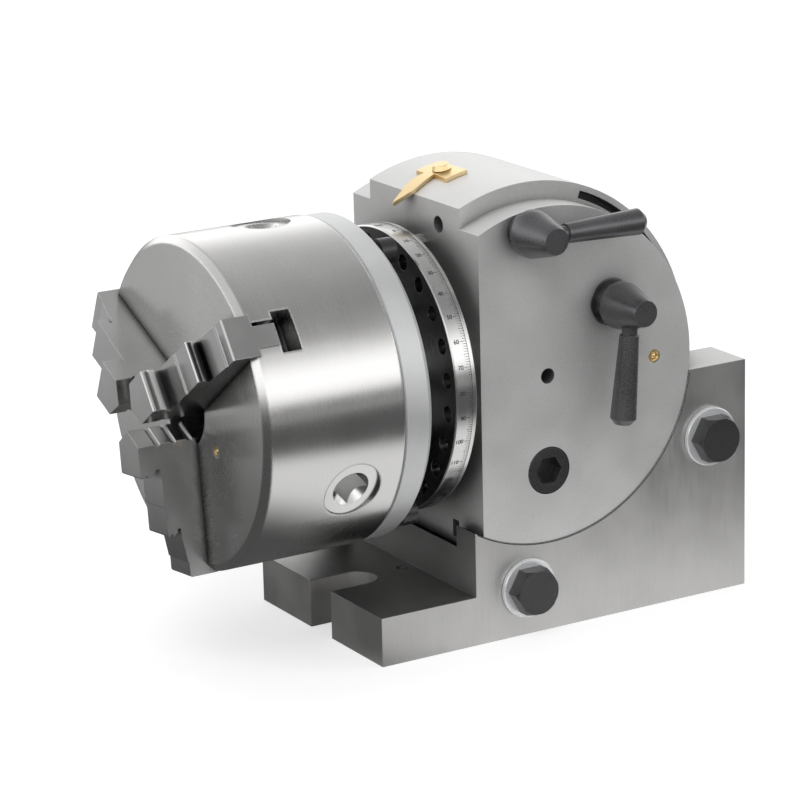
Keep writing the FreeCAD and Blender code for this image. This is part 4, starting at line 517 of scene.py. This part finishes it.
WARDROBE: dict[str, Finish] = {
    "base_casting": BASE_IRON,
    "clamp_shoes": DARK_STEEL,
    "clamp_washers": ZINC,
    "clamp_bolts": BLACK_STEEL,
    "swivel_housing": HOUSING_IRON,
    "front_bearing": NOSE_STEEL,
    "front_bearing_screws": BLACK_STEEL,
    "front_bush": BRONZE,
    "rear_bush": BRONZE,
    "spindle": NOSE_STEEL,
    "worm_wheel": BRONZE,
    "wheel_key": DARK_STEEL,
    "wheel_nut": DARK_STEEL,
    "thrust_washer": DARK_STEEL,
    "rear_lock_nuts": BLACK_STEEL,
    "index_ring": RING_STEEL,
    "index_ring_screws": BLACK_STEEL,
    "backplate": PLATE_STEEL,
    "backplate_screws": BLACK_STEEL,
    "chuck_body": CHUCK_STEEL,
    "chuck_cover": CHUCK_STEEL,
    "scroll": DARK_STEEL,
    "chuck_jaw_a": JAW_STEEL,
    "chuck_jaw_b": JAW_STEEL,
    "chuck_jaw_c": JAW_STEEL,
    "chuck_pinion_a": SOCKET_STEEL,
    "chuck_pinion_b": SOCKET_STEEL,
    "chuck_pinion_c": SOCKET_STEEL,
    "pinion_pins": DARK_STEEL,
    "chuck_bolts": BLACK_STEEL,
    "chuck_oiler": BRASS,
    "worm_sleeve": CROSS_STEEL,
    "worm_bush": BRONZE,
    "release_lever": LEVER_STEEL,
    "worm_plug": BLACK_STEEL,
    "index_plate": CROSS_STEEL,
    "index_plate_screws": BLACK_STEEL,
    "sector_arm_a": JAW_STEEL,
    "sector_arm_b": JAW_STEEL,
    "worm_shaft": CROSS_STEEL,
    "crank_arm": JAW_STEEL,
    "crank_nut": BLACK_STEEL,
    "plunger_body": CROSS_STEEL,
    "plunger_pin": CROSS_STEEL,
    "plunger_knob": LEVER_STEEL,
    "index_pin": NOSE_STEEL,
    "index_lever_hub": LEVER_STEEL,
    "index_lever_handle": LEVER_STEEL,
    "index_lever_shaft": DARK_STEEL,
    "index_finger": DARK_STEEL,
    "lock_lever_hub": LEVER_STEEL,
    "lock_lever_handle": LEVER_STEEL,
    "lock_screw": DARK_STEEL,
    "lock_guide": DARK_STEEL,
    "lock_pads": BRASS,
    "near_oiler": BRASS,
    "pointer": BRASS,
    "pointer_screw": BRASS,
}


@dataclass
class Dressing:
    """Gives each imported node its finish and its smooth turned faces."""

    crease: float = math.radians(28.0)
    weld: float = 0.000002
    smoother: bpy.types.NodeTree | None = field(default=None, init=False)

    def make_smoother(self) -> bpy.types.NodeTree:
        """Builds the modifier's tree, which keeps only real edges sharp.

        Returns:
            The geometry tree.
        """
        tree = bpy.data.node_groups.new(SMOOTHER, "GeometryNodeTree")
        tree.interface.new_socket("Geometry", in_out="INPUT", socket_type="NodeSocketGeometry")
        tree.interface.new_socket("Geometry", in_out="OUTPUT", socket_type="NodeSocketGeometry")
        graph = Graph(tree)
        entry = graph.node("NodeGroupInput")
        merge = graph.node("GeometryNodeMergeByDistance")
        graph.feed(merge.inputs["Geometry"], entry.outputs[0])
        merge.inputs["Distance"].default_value = self.weld
        angle = graph.node("GeometryNodeInputMeshEdgeAngle")
        edges = graph.node("GeometryNodeSetShadeSmooth", domain="EDGE")
        graph.feed(edges.inputs["Geometry"], merge.outputs[0])
        shallow = graph.math("LESS_THAN", angle.outputs["Unsigned Angle"], self.crease)
        graph.feed(edges.inputs["Shade Smooth"], shallow)
        faces = graph.node("GeometryNodeSetShadeSmooth", domain="FACE")
        graph.feed(faces.inputs["Geometry"], edges.outputs[0])
        faces.inputs["Shade Smooth"].default_value = True
        leave = graph.node("NodeGroupOutput")
        graph.feed(leave.inputs[0], faces.outputs[0])
        return tree

    def dress(self, name: str, thing: bpy.types.Object) -> None:
        """Dresses one node.

        Args:
            name: The node's name.
            thing: The node's object.
        """
        low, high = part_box(name)
        finish = WARDROBE[name]
        centre = Vector((0.0, 0.0, CENTRE_HEIGHT)) if finish.axis is Axis.SPINDLE else (low + high) / 2.0
        material = finish.dress(f"{name}_finish", centre)
        thing.data.materials.clear()
        thing.data.materials.append(material)
        for face in thing.data.polygons:
            face.material_index = 0
        smooth = thing.modifiers.new(SMOOTHER, "NODES")
        smooth.node_group = self.smoother

    def build(self, nodes: dict[str, bpy.types.Object]) -> None:
        """Dresses every node.

        Args:
            nodes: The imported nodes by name.
        """
        self.smoother = self.make_smoother()
        for name, thing in nodes.items():
            self.dress(name, thing)
        LOG.info("dressed %d nodes", len(nodes))


@dataclass
class SteppedJaw:
    """A chuck jaw with its gripping steps, ribs, grooves and set-back foot. Lengths are in millimetres.

    A point of the jaw is given by its distance out from the spindle, its height over the chuck's face
    and its place across the jaw.
    """

    node: str
    body: str
    turn: float
    reach: float = 64.5
    high: float = 24.0
    above: float = 26.0
    half_width: float = 10.0
    chamfer: float = 2.6
    low: float = 7.6
    low_end: float = 9.6
    low_step: float = 56.9
    outer_wall: float = 45.9
    mid: float = 15.1
    mid_step: float = 35.2
    step_rise: float = 0.5
    inner_wall: float = 22.7
    groove: float = 2.4
    groove_share: float = 0.30
    rib_share: float = 0.32
    line_share: float = 0.07
    line_depth: float = 0.8
    rib_crown: float = 0.3
    rib_top: float = 0.1
    rib_rounding: float = 0.5
    rounding_share: float = 0.06
    groove_lip: float = 0.9
    lip_share: float = 0.04
    step_slope: float = 0.3
    wall_gap: float = 1.5
    tip_over: float = 0.1
    tip_slope: float = 0.6
    neck_top: float = -3.6
    foot_top: float = -12.2
    foot_bottom: float = -20.0
    foot_end: float = 51.0
    relief_start: float = 48.0
    relief_side: float = 3.5
    weld: float = 0.000002

    def place(self, out: float, height: float, side: float) -> Vector:
        """Finds a point of the jaw in the head's own frame.

        Args:
            out: Its distance from the spindle's line.
            height: Its height over the chuck's face.
            side: Its distance from the jaw's middle.

        Returns:
            The point, in metres.
        """
        turn = math.radians(self.turn)
        outwards = Vector((0.0, -math.cos(turn), math.sin(turn)))
        across = Vector((0.0, math.sin(turn), math.cos(turn)))
        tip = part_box(self.node)[0][0]
        middle = Vector((tip + (self.high - height) * MM, 0.0, CENTRE_HEIGHT))
        return middle + outwards * out * MM + across * side * MM

    def wall(self, out: float, start: float, end: float) -> list[tuple[float, float]]:
        """Draws a step's wall: a deep groove at its foot, then two ribs with a line between them.

        Args:
            out: Where the ribs' faces are.
            start: The height of the wall's foot.
            end: The height of its top.

        Returns:
            Points from the foot to the top.
        """
        rise = end - start
        foot = start + self.groove_share * rise
        line = foot + self.rib_share * rise
        second = line + self.line_share * rise
        return [
            (out + self.groove_lip, start),
            (out - self.groove, start + self.lip_share * rise),
            (out - self.groove, foot - self.lip_share * rise),
            (out - self.line_depth, foot),
            (out + self.rib_crown, line),
            (out - self.line_depth, second),
            (out + self.rib_top, end - self.rounding_share * rise),
            (out - self.rib_rounding, end),
        ]

    def steps(self) -> list[tuple[float, float]]:
        """Draws the space over the steps, from the rim inwards.

        Returns:
            The outline as distances from the spindle and heights.
        """
        shelf = self.mid + self.step_rise
        return [
            (self.reach, self.low - self.chamfer),
            (self.reach - self.chamfer, self.low),
            (self.low_step, self.low),
            (self.low_step - self.step_slope, self.low + self.step_rise),
            (self.outer_wall + self.wall_gap, self.low_end),
            *self.wall(self.outer_wall, self.low_end, self.mid),
            (self.mid_step, self.mid),
            (self.mid_step - self.step_slope, shelf),
            (self.inner_wall + self.wall_gap, shelf),
            *self.wall(self.inner_wall, shelf, self.high + self.tip_over),
            (self.inner_wall - self.tip_slope, self.above),
            (self.reach, self.above),
        ]

    def block(self, start: float, top: float, bottom: float) -> list[tuple[float, float]]:
        """Draws a plain space at the jaw's outer end.

        Args:
            start: Its inner end.
            top: Its height at the top.
            bottom: Its height at the bottom.

        Returns:
            The outline's corners.
        """
        return [(start, top), (self.reach, top), (self.reach, bottom), (start, bottom)]

    def cutter(self, outline: list[tuple[float, float]], start: float, end: float) -> bpy.types.Object:
        """Makes a solid of an outline across the jaw.

        Args:
            outline: Distances from the spindle and heights.
            start: Where it starts across the jaw.
            end: Where it ends.

        Returns:
            The solid, which is taken away from the jaw.
        """
        mesh = bmesh.new()
        first = [mesh.verts.new(self.place(out, height, start)) for out, height in outline]
        second = [mesh.verts.new(self.place(out, height, end)) for out, height in outline]
        mesh.faces.new(first)
        mesh.faces.new(reversed(second))
        for place in range(len(outline)):
            mesh.faces.new((first[place], second[place], second[place - 1], first[place - 1]))
        bmesh.ops.recalc_face_normals(mesh, faces=mesh.faces)
        return as_object("jaw_cutter", mesh)

    def build(self, nodes: dict[str, bpy.types.Object]) -> None:
        """Cuts the jaw to its shape and lets it slide with its body.

        Args:
            nodes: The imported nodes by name.
        """
        blank = nodes[self.node]
        mesh = bmesh.new()
        mesh.from_mesh(blank.data)
        bmesh.ops.remove_doubles(mesh, verts=mesh.verts, dist=self.weld)
        jaw = as_object(f"stepped_{self.node}", mesh)
        foot = self.block(self.foot_end, self.foot_top, self.foot_bottom)
        neck = self.block(self.relief_start, self.neck_top, self.foot_top)
        cutters = [
            self.cutter(self.steps(), -self.half_width, self.half_width),
            self.cutter(foot, -self.half_width, self.half_width),
            self.cutter(neck, self.relief_side, self.half_width),
        ]
        for cutter in cutters:
            taken = jaw.modifiers.new("taken", "BOOLEAN")
            taken.solver = "EXACT"
            taken.object = cutter
        bpy.context.view_layer.update()
        cut = jaw.evaluated_get(bpy.context.evaluated_depsgraph_get())
        shape = bpy.data.meshes.new_from_object(cut)
        jaw.modifiers.clear()
        jaw.data = shape
        shape.materials.clear()
        shape.materials.append(blank.data.materials[0])
        for face in shape.polygons:
            face.material_index = 0
        for cutter in cutters:
            bpy.data.objects.remove(cutter)
        smooth = jaw.modifiers.new(SMOOTHER, "NODES")
        smooth.node_group = blank.modifiers[SMOOTHER].node_group
        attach(jaw, self.body)
        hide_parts(self.node)
        LOG.info("%s: %d faces", jaw.name, len(shape.polygons))


@dataclass
class RingScale:
    """The degree marks and figures round the index ring."""

    radius: float = 55.0 * MM
    lift: float = 0.06 * MM
    rear: float = -38.9 * MM
    short: float = 1.5 * MM
    middle: float = 2.0 * MM
    long: float = 2.6 * MM
    mark_width: float = 0.16 * MM
    figure_height: float = 2.3 * MM
    figure_end: float = -41.9 * MM
    zero_at: float = 82.5
    figure_step: int = 10
    middle_step: int = 5
    figure_swell: float = 0.02 * MM

    def spot(self, angle: float, along: float) -> Vector:
        """Finds a point on the ring's rim.

        Args:
            angle: Degrees from the near side upwards.
            along: Its place on the spindle's line.

        Returns:
            The point.
        """
        turn = math.radians(angle)
        out = self.radius + self.lift
        return Vector((along, -out * math.cos(turn), CENTRE_HEIGHT + out * math.sin(turn)))

    def strip(
        self, mesh: bmesh.types.BMesh, angle: float, start: float, end: float, width: float
    ) -> None:
        """Adds one straight mark along the spindle's line.

        Args:
            mesh: The mesh that gets it.
            angle: Where it is, in degrees.
            start: Its front end.
            end: Its rear end.
            width: Its width.
        """
        half = math.degrees(width / 2.0 / self.radius)
        before, after = angle - half, angle + half
        corners = [(before, start), (before, end), (after, end), (after, start)]
        mesh.faces.new([mesh.verts.new(self.spot(*corner)) for corner in corners])

    def marks(self) -> bpy.types.Object:
        """Builds all marks and the line that they stand on.

        Returns:
            The object.
        """
        mesh = bmesh.new()
        for degree in range(FULL_TURN):
            length = self.short
            if degree % self.middle_step == 0:
                length = self.middle
            if degree % self.figure_step == 0:
                length = self.long
            self.strip(mesh, self.zero_at - degree, self.rear - length, self.rear, self.mark_width)
        front, rear = self.rear - self.mark_width, self.rear
        for degree in range(FULL_TURN):
            turn, after = float(degree), float(degree + 1)
            corners = [(turn, front), (turn, rear), (after, rear), (after, front)]
            mesh.faces.new([mesh.verts.new(self.spot(*corner)) for corner in corners])
        return as_object("ring_marks", mesh)

    def figure(self, number: int) -> bpy.types.Mesh:
        """Draws a number as a flat mesh.

        Args:
            number: The number.

        Returns:
            The mesh, with its letters in the XY plane.
        """
        curve = bpy.data.curves.new(f"figure_{number}", "FONT")
        curve.body = str(number)
        curve.size = self.figure_height
        curve.align_x = "RIGHT"
        curve.align_y = "CENTER"
        curve.offset = self.figure_swell
        holder = bpy.data.objects.new(f"figure_{number}", curve)
        bpy.context.scene.collection.objects.link(holder)
        bpy.context.view_layer.update()
        drawn = holder.evaluated_get(bpy.context.evaluated_depsgraph_get())
        flat = bpy.data.meshes.new_from_object(drawn)
        bpy.data.objects.remove(holder)
        return flat

    def figures(self) -> bpy.types.Object:
        """Wraps the numbers round the rim, one at each ten degrees.

        Returns:
            The object.
        """
        mesh = bmesh.new()
        for number in range(0, FULL_TURN, self.figure_step):
            flat = self.figure(number)
            middle = self.zero_at - number
            verts = []
            for point in flat.vertices:
                angle = middle + math.degrees(point.co.y / self.radius)
                verts.append(mesh.verts.new(self.spot(angle, self.figure_end + point.co.x)))
            for face in flat.polygons:
                mesh.faces.new([verts[place] for place in face.vertices])
            bpy.data.meshes.remove(flat)
        return as_object("ring_figures", mesh)

    def build(self) -> None:
        """Builds the scale and lets it turn with the spindle."""
        ink = Ink().dress("scale_ink")
        for piece in (self.marks(), self.figures()):
            piece.data.materials.append(ink)
            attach(piece, "spindle")
            LOG.info("%s: %d faces", piece.name, len(piece.data.polygons))


@dataclass
class RingSkirt:
    """The rear part of the index ring's rim, which reaches back over the bearing's flange."""

    node: str = "index_ring"
    body: str = "spindle"
    outer: float = 55.02 * MM
    inner: float = 52.4 * MM
    front: float = -40.7 * MM
    rear: float = -37.1 * MM
    edge: float = 0.3 * MM
    segments: int = 180

    def build(self, nodes: dict[str, bpy.types.Object]) -> None:
        """Turns the skirt and lets it go round with the spindle.

        Args:
            nodes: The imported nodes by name.
        """
        section = [
            (self.front, self.inner),
            (self.front, self.outer),
            (self.rear - self.edge, self.outer),
            (self.rear, self.outer - self.edge),
            (self.rear, self.inner),
        ]
        mesh = bmesh.new()
        rows = []
        for step in range(self.segments):
            turn = math.tau * step / self.segments
            row = []
            for along, out in section:
                spot = (along, -out * math.cos(turn), CENTRE_HEIGHT + out * math.sin(turn))
                row.append(mesh.verts.new(spot))
            rows.append(row)
        for step, row in enumerate(rows):
            for place in range(len(section)):
                before = rows[step - 1]
                mesh.faces.new((row[place - 1], row[place], before[place], before[place - 1]))
        bmesh.ops.recalc_face_normals(mesh, faces=mesh.faces)
        skirt = as_object("ring_skirt", mesh)
        ring = nodes[self.node]
        skirt.data.materials.append(ring.data.materials[0])
        smooth = skirt.modifiers.new(SMOOTHER, "NODES")
        smooth.node_group = ring.modifiers[SMOOTHER].node_group
        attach(skirt, self.body)
        LOG.info("%s: %d faces", skirt.name, len(skirt.data.polygons))


@dataclass
class JointLine:
    """A painted shadow: a dark line on the cradle's outer faces, where the housing's discs run in it and
    the gap between them lies in shade.
    """

    node: str = "base_casting"
    inner: float = 65.05 * MM
    outer: float = 65.45 * MM
    face: float = 46.0 * MM
    lift: float = 0.02 * MM
    step: float = 1.0

    def spot(self, angle: float, out: float, side: int) -> Vector:
        """Finds a point of the line.

        Args:
            angle: Degrees round the swivel's axis.
            out: Its distance from that axis.
            side: -1 for the near face, 1 for the far one.

        Returns:
            The point.
        """
        turn = math.radians(angle)
        across = side * (self.face + self.lift)
        return Vector((out * math.cos(turn), across, CENTRE_HEIGHT + out * math.sin(turn)))

    def on_face(self, base: bpy.types.Object, spot: Vector, side: int) -> bool:
        """Tells whether the cradle's outer face lies under a point.

        Args:
            base: The cradle.
            spot: The point.
            side: The side that it is on.

        Returns:
            True where it does.
        """
        start = spot + Vector((0.0, side * self.face, 0.0))
        found, place, _, _ = base.ray_cast(start, Vector((0.0, -float(side), 0.0)))
        return found and abs(abs(place.y) - self.face) < self.lift

    def build(self, nodes: dict[str, bpy.types.Object]) -> None:
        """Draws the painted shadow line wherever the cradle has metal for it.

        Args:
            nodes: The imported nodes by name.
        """
        base = nodes[self.node]
        bpy.context.view_layer.update()
        mesh = bmesh.new()
        for side in (-1, 1):
            for number in range(int(FULL_TURN / self.step)):
                start, end = number * self.step, (number + 1) * self.step
                inner = [self.spot(start, self.inner, side), self.spot(end, self.inner, side)]
                outer = [self.spot(end, self.outer, side), self.spot(start, self.outer, side)]
                corners = inner + outer
                if all(self.on_face(base, corner, side) for corner in outer):
                    order = corners if side < 0 else corners[::-1]
                    mesh.faces.new([mesh.verts.new(corner) for corner in order])
        # The dark line is painted shadow for the gap between the discs and the cradle.
        line = as_object("cradle_joint_painted_shadow", mesh)
        line.data.materials.append(Ink().dress("joint_painted_shadow"))
        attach(line, "base")
        LOG.info("%s: %d faces", line.name, len(line.data.polygons))


def as_object(name: str, mesh: bmesh.types.BMesh) -> bpy.types.Object:
    """Turns a finished mesh into an object of the scene.

    Args:
        name: The object's name.
        mesh: The mesh, which is freed.

    Returns:
        The object.
    """
    data = bpy.data.meshes.new(name)
    mesh.normal_update()
    mesh.to_mesh(data)
    mesh.free()
    thing = bpy.data.objects.new(name, data)
    bpy.context.scene.collection.objects.link(thing)
    return thing


@dataclass(frozen=True)
class Lamp:
    """A soft square lamp, which the metal doesn't mirror."""

    name: str
    place: tuple[float, float, float]
    size: float
    power: float

    def build(self, aim: Vector) -> None:
        """Adds the lamp.

        Args:
            aim: What it points at.
        """
        data = bpy.data.lights.new(self.name, "AREA")
        data.size = self.size
        data.energy = self.power
        thing = bpy.data.objects.new(self.name, data)
        thing.location = self.place
        thing.rotation_euler = (aim - Vector(self.place)).to_track_quat("-Z", "Y").to_euler()
        thing.visible_glossy = False
        bpy.context.scene.collection.objects.link(thing)


LAMPS = (
    Lamp("key_lamp", (-0.9, -0.9, 1.5), 1.2, 12.0),
    Lamp("fill_lamp", (1.4, -1.0, 0.9), 1.2, 5.0),
    Lamp("top_lamp", (0.1, 0.5, 1.8), 1.4, 10.0),
)

# The room's brightness by the upward part of the direction, on the near side and on the far side.
NEAR_BANDS = (
    (-1.0, 0.7), (-0.1, 0.4), (0.0, 0.2), (0.06, 0.5), (0.15, 1.8),
    (0.25, 1.9), (0.42, 1.6), (0.56, 0.85), (0.75, 0.4), (1.0, 0.45),
)
FAR_BANDS = (
    (-1.0, 0.6), (-0.1, 0.5), (0.05, 1.3), (0.25, 1.9),
    (0.45, 1.6), (0.68, 0.85), (0.85, 0.62), (1.0, 0.5),
)


@dataclass
class Studio:
    """The pale floor, the soft lamps and the room that the metal mirrors."""

    floor_size: float = 8.0
    floor_tone: float = 0.56
    paper_scale: float = 60.0
    paper_change: float = 0.005
    room_tone: float = 0.62
    sky_white: float = 1.25
    white: float = 0.60
    white_far: float = 0.8
    fade_reach: tuple[float, float] = (0.4, 2.5)
    fade: float = 0.5
    near_way: tuple[float, float, float] = (0.5, -0.85, 0.0)
    side_way: tuple[float, float, float] = (0.85, -0.5, 0.0)
    pool_front: float = 0.80
    pool_side_reach: tuple[float, float] = (-0.06, 0.0)
    pool_ring: float = 0.03
    pool_ring_reach: tuple[float, float] = (0.12, 0.22)
    pool_far: float = 0.3
    pool_far_reach: tuple[float, float] = (0.7, 1.3)
    pool_back: float = 0.52
    pool_dark: float = 0.09
    pool_back_reach: tuple[float, float] = (-0.1, -0.6)
    side_change: float = 0.35
    band_top: float = 2.0
    aim: tuple[float, float, float] = (0.0, 0.0, 0.08)

    def pool(self, graph: Graph, spot: bpy.types.NodeSocket, reach: object) -> bpy.types.NodeSocket:
        """Gives the floor's brightness as the metal mirrors it.

        Args:
            graph: The floor's graph.
            spot: The point of the floor.
            reach: Its distance from the origin.

        Returns:
            The brightness.
        """
        nearness = graph.vector("DOT_PRODUCT", spot, self.near_way)
        beside = graph.vector("DOT_PRODUCT", spot, self.side_way)
        front = graph.math(
            "MULTIPLY",
            graph.spread(beside, *self.pool_side_reach, 0.0, self.pool_front),
            graph.spread(nearness, *self.pool_ring_reach, 1.0, self.pool_ring),
        )
        far = graph.spread(nearness, *self.pool_far_reach, 0.0, self.pool_far)
        behind = graph.spread(nearness, *self.pool_back_reach, self.pool_dark, self.pool_back)
        behind = graph.math("MULTIPLY", behind, graph.spread(reach, *self.fade_reach, 1.0, self.fade))
        return graph.math("ADD", graph.math("ADD", front, far), behind)

    def floor(self) -> None:
        """Builds the floor, white to the eye and keeping the head's shadow."""
        mesh = bmesh.new()
        half = self.floor_size / 2.0
        edges = [(-half, -half), (half, -half), (half, half), (-half, half)]
        mesh.faces.new([mesh.verts.new((x, y, 0.0)) for x, y in edges])
        plane = as_object("studio_floor", mesh)
        material = bpy.data.materials.new("studio_floor")
        material.use_nodes = True
        graph = Graph(material.node_tree)
        spot = graph.node("ShaderNodeTexCoord").outputs["Object"]
        rays = graph.node("ShaderNodeLightPath").outputs
        seen = graph.math("MAXIMUM", rays["Is Camera Ray"], rays["Is Transmission Ray"])
        reach = graph.vector("LENGTH", spot)
        white = graph.spread(reach, *self.fade_reach, self.white, self.white_far)
        paper = graph.noise(spot, self.paper_scale, 2.0)
        tones = (self.floor_tone - self.paper_change, self.floor_tone + self.paper_change)
        matte = graph.node("ShaderNodeBsdfDiffuse")
        graph.feed(matte.inputs["Color"], graph.spread(paper, 0.3, 0.7, *tones))
        light = graph.node("ShaderNodeEmission")
        graph.feed(light.inputs["Strength"], graph.math("MULTIPLY", seen, white))
        both = graph.node("ShaderNodeAddShader")
        graph.feed(both.inputs[0], matte.outputs[0])
        graph.feed(both.inputs[1], light.outputs[0])
        mirrored = graph.node("ShaderNodeEmission")
        graph.feed(mirrored.inputs["Strength"], self.pool(graph, spot, reach))
        choice = graph.node("ShaderNodeMixShader")
        graph.feed(choice.inputs[0], rays["Is Glossy Ray"])
        graph.feed(choice.inputs[1], both.outputs[0])
        graph.feed(choice.inputs[2], mirrored.outputs[0])
        graph.feed(graph.node("ShaderNodeOutputMaterial").inputs["Surface"], choice.outputs[0])
        plane.data.materials.append(material)

    def ramp(
        self, graph: Graph, height: object, stops: tuple[tuple[float, float], ...]
    ) -> bpy.types.NodeSocket:
        """Gives the room's brightness at each height.

        Args:
            graph: The world's graph.
            height: The upward part of the direction, from -1 to 1.
            stops: Heights with their brightness, from low to high.

        Returns:
            The brightness.
        """
        curve = graph.node("ShaderNodeFloatCurve")
        points = curve.mapping.curves[0].points
        for height_at, value in stops[1:-1]:
            points.new((height_at + 1.0) / 2.0, value / self.band_top)
        points[0].location = (0.0, stops[0][1] / self.band_top)
        points[-1].location = (1.0, stops[-1][1] / self.band_top)
        curve.mapping.update()
        graph.feed(curve.inputs["Value"], graph.math("MULTIPLY", graph.math("ADD", height, 1.0), 0.5))
        return graph.math("MULTIPLY", curve.outputs[0], self.band_top)

    def room(self) -> None:
        """Builds the world: white to the eye, banded for the metal, plain for the rest."""
        world = bpy.data.worlds.new("studio_room")
        bpy.context.scene.world = world
        world.use_nodes = True
        graph = Graph(world.node_tree)
        way = graph.node("ShaderNodeSeparateXYZ")
        graph.feed(way.inputs[0], graph.node("ShaderNodeTexCoord").outputs["Generated"])
        near = self.ramp(graph, way.outputs[2], NEAR_BANDS)
        far = self.ramp(graph, way.outputs[2], FAR_BANDS)
        side = graph.spread(way.outputs[1], -self.side_change, self.side_change, 0.0, 1.0)
        near = graph.math("MULTIPLY", near, graph.math("SUBTRACT", 1.0, side))
        mirrored = graph.math("ADD", near, graph.math("MULTIPLY", far, side))
        rays = graph.node("ShaderNodeLightPath").outputs
        seen = graph.math("MAXIMUM", rays["Is Camera Ray"], rays["Is Transmission Ray"])
        plain = graph.math("SUBTRACT", 1.0, graph.math("MAXIMUM", seen, rays["Is Glossy Ray"]))
        strength = graph.math("MULTIPLY", seen, self.sky_white)
        strength = graph.math("ADD", strength, graph.math("MULTIPLY", mirrored, rays["Is Glossy Ray"]))
        strength = graph.math("ADD", strength, graph.math("MULTIPLY", plain, self.room_tone))
        sky = graph.node("ShaderNodeBackground")
        graph.feed(sky.inputs["Strength"], strength)
        graph.feed(graph.node("ShaderNodeOutputWorld").inputs["Surface"], sky.outputs[0])

    def build(self) -> None:
        """Builds the floor, the room and the lamps."""
        self.floor()
        self.room()
        for lamp in LAMPS:
            lamp.build(Vector(self.aim))
        LOG.info("studio ready")


@dataclass
class Viewpoint:
    """The camera, where the photograph was taken from."""

    azimuth: float = -30.46
    elevation: float = 16.03
    roll: float = -1.46
    across: float = 32.46 * MM
    lift: float = 0.01 * MM
    distance: float = 1325.1 * MM
    aim: Vector = field(default_factory=lambda: Vector((0.0, 0.0, 80.0 * MM)))
    focal_pixels: float = 3424.81
    frame_pixels: float = 800.0
    sensor: float = 36.0
    clip: tuple[float, float] = (0.01, 30.0)

    def build(self) -> None:
        """Places the camera."""
        turn, rise = math.radians(self.azimuth), math.radians(self.elevation)
        flat = math.cos(rise)
        back = Vector((math.sin(turn) * flat, -math.cos(turn) * flat, math.sin(rise)))
        right = Vector((math.cos(turn), math.sin(turn), 0.0))
        up = back.cross(right)
        tilt = math.radians(self.roll)
        rolled_right = math.cos(tilt) * right + math.sin(tilt) * up
        rolled_up = -math.sin(tilt) * right + math.cos(tilt) * up
        place = self.aim - self.across * rolled_right - self.lift * rolled_up
        place = place + self.distance * back
        data = bpy.data.cameras.new("camera")
        data.lens = self.focal_pixels / self.frame_pixels * self.sensor
        data.sensor_width = self.sensor
        data.clip_start, data.clip_end = self.clip
        thing = bpy.data.objects.new("camera", data)
        axes = Matrix((rolled_right, rolled_up, back)).transposed()
        thing.matrix_world = Matrix.Translation(place) @ axes.to_4x4()
        bpy.context.scene.collection.objects.link(thing)
        bpy.context.scene.camera = thing
        LOG.info("camera at %s", place)


def corners(bounds: tuple) -> list[list[float]]:
    """Turns a box into plain lists.

    Args:
        bounds: The lowest and highest corner.

    Returns:
        The same as lists of numbers.
    """
    return [[float(part) for part in corner] for corner in bounds]


def main() -> None:
    """Builds the scene from its parts, in order."""
    logging.basicConfig(level=logging.INFO, format="%(message)s")
    for thing in list(bpy.data.objects):
        bpy.data.objects.remove(thing)
    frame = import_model()
    bpy.context.scene.view_settings.view_transform = "Standard"
    Viewpoint().build()
    Dressing().build(frame["nodes"])
    for number, letter in enumerate("abc"):
        turn = FIRST_JAW_ANGLE + JAW_ANGLE_STEP * number
        SteppedJaw(f"chuck_jaw_{letter}", f"jaw_{letter}", turn).build(frame["nodes"])
    RingSkirt().build(frame["nodes"])
    RingScale().build()
    JointLine().build(frame["nodes"])
    Studio().build()


if __name__ == "__main__":
    main()
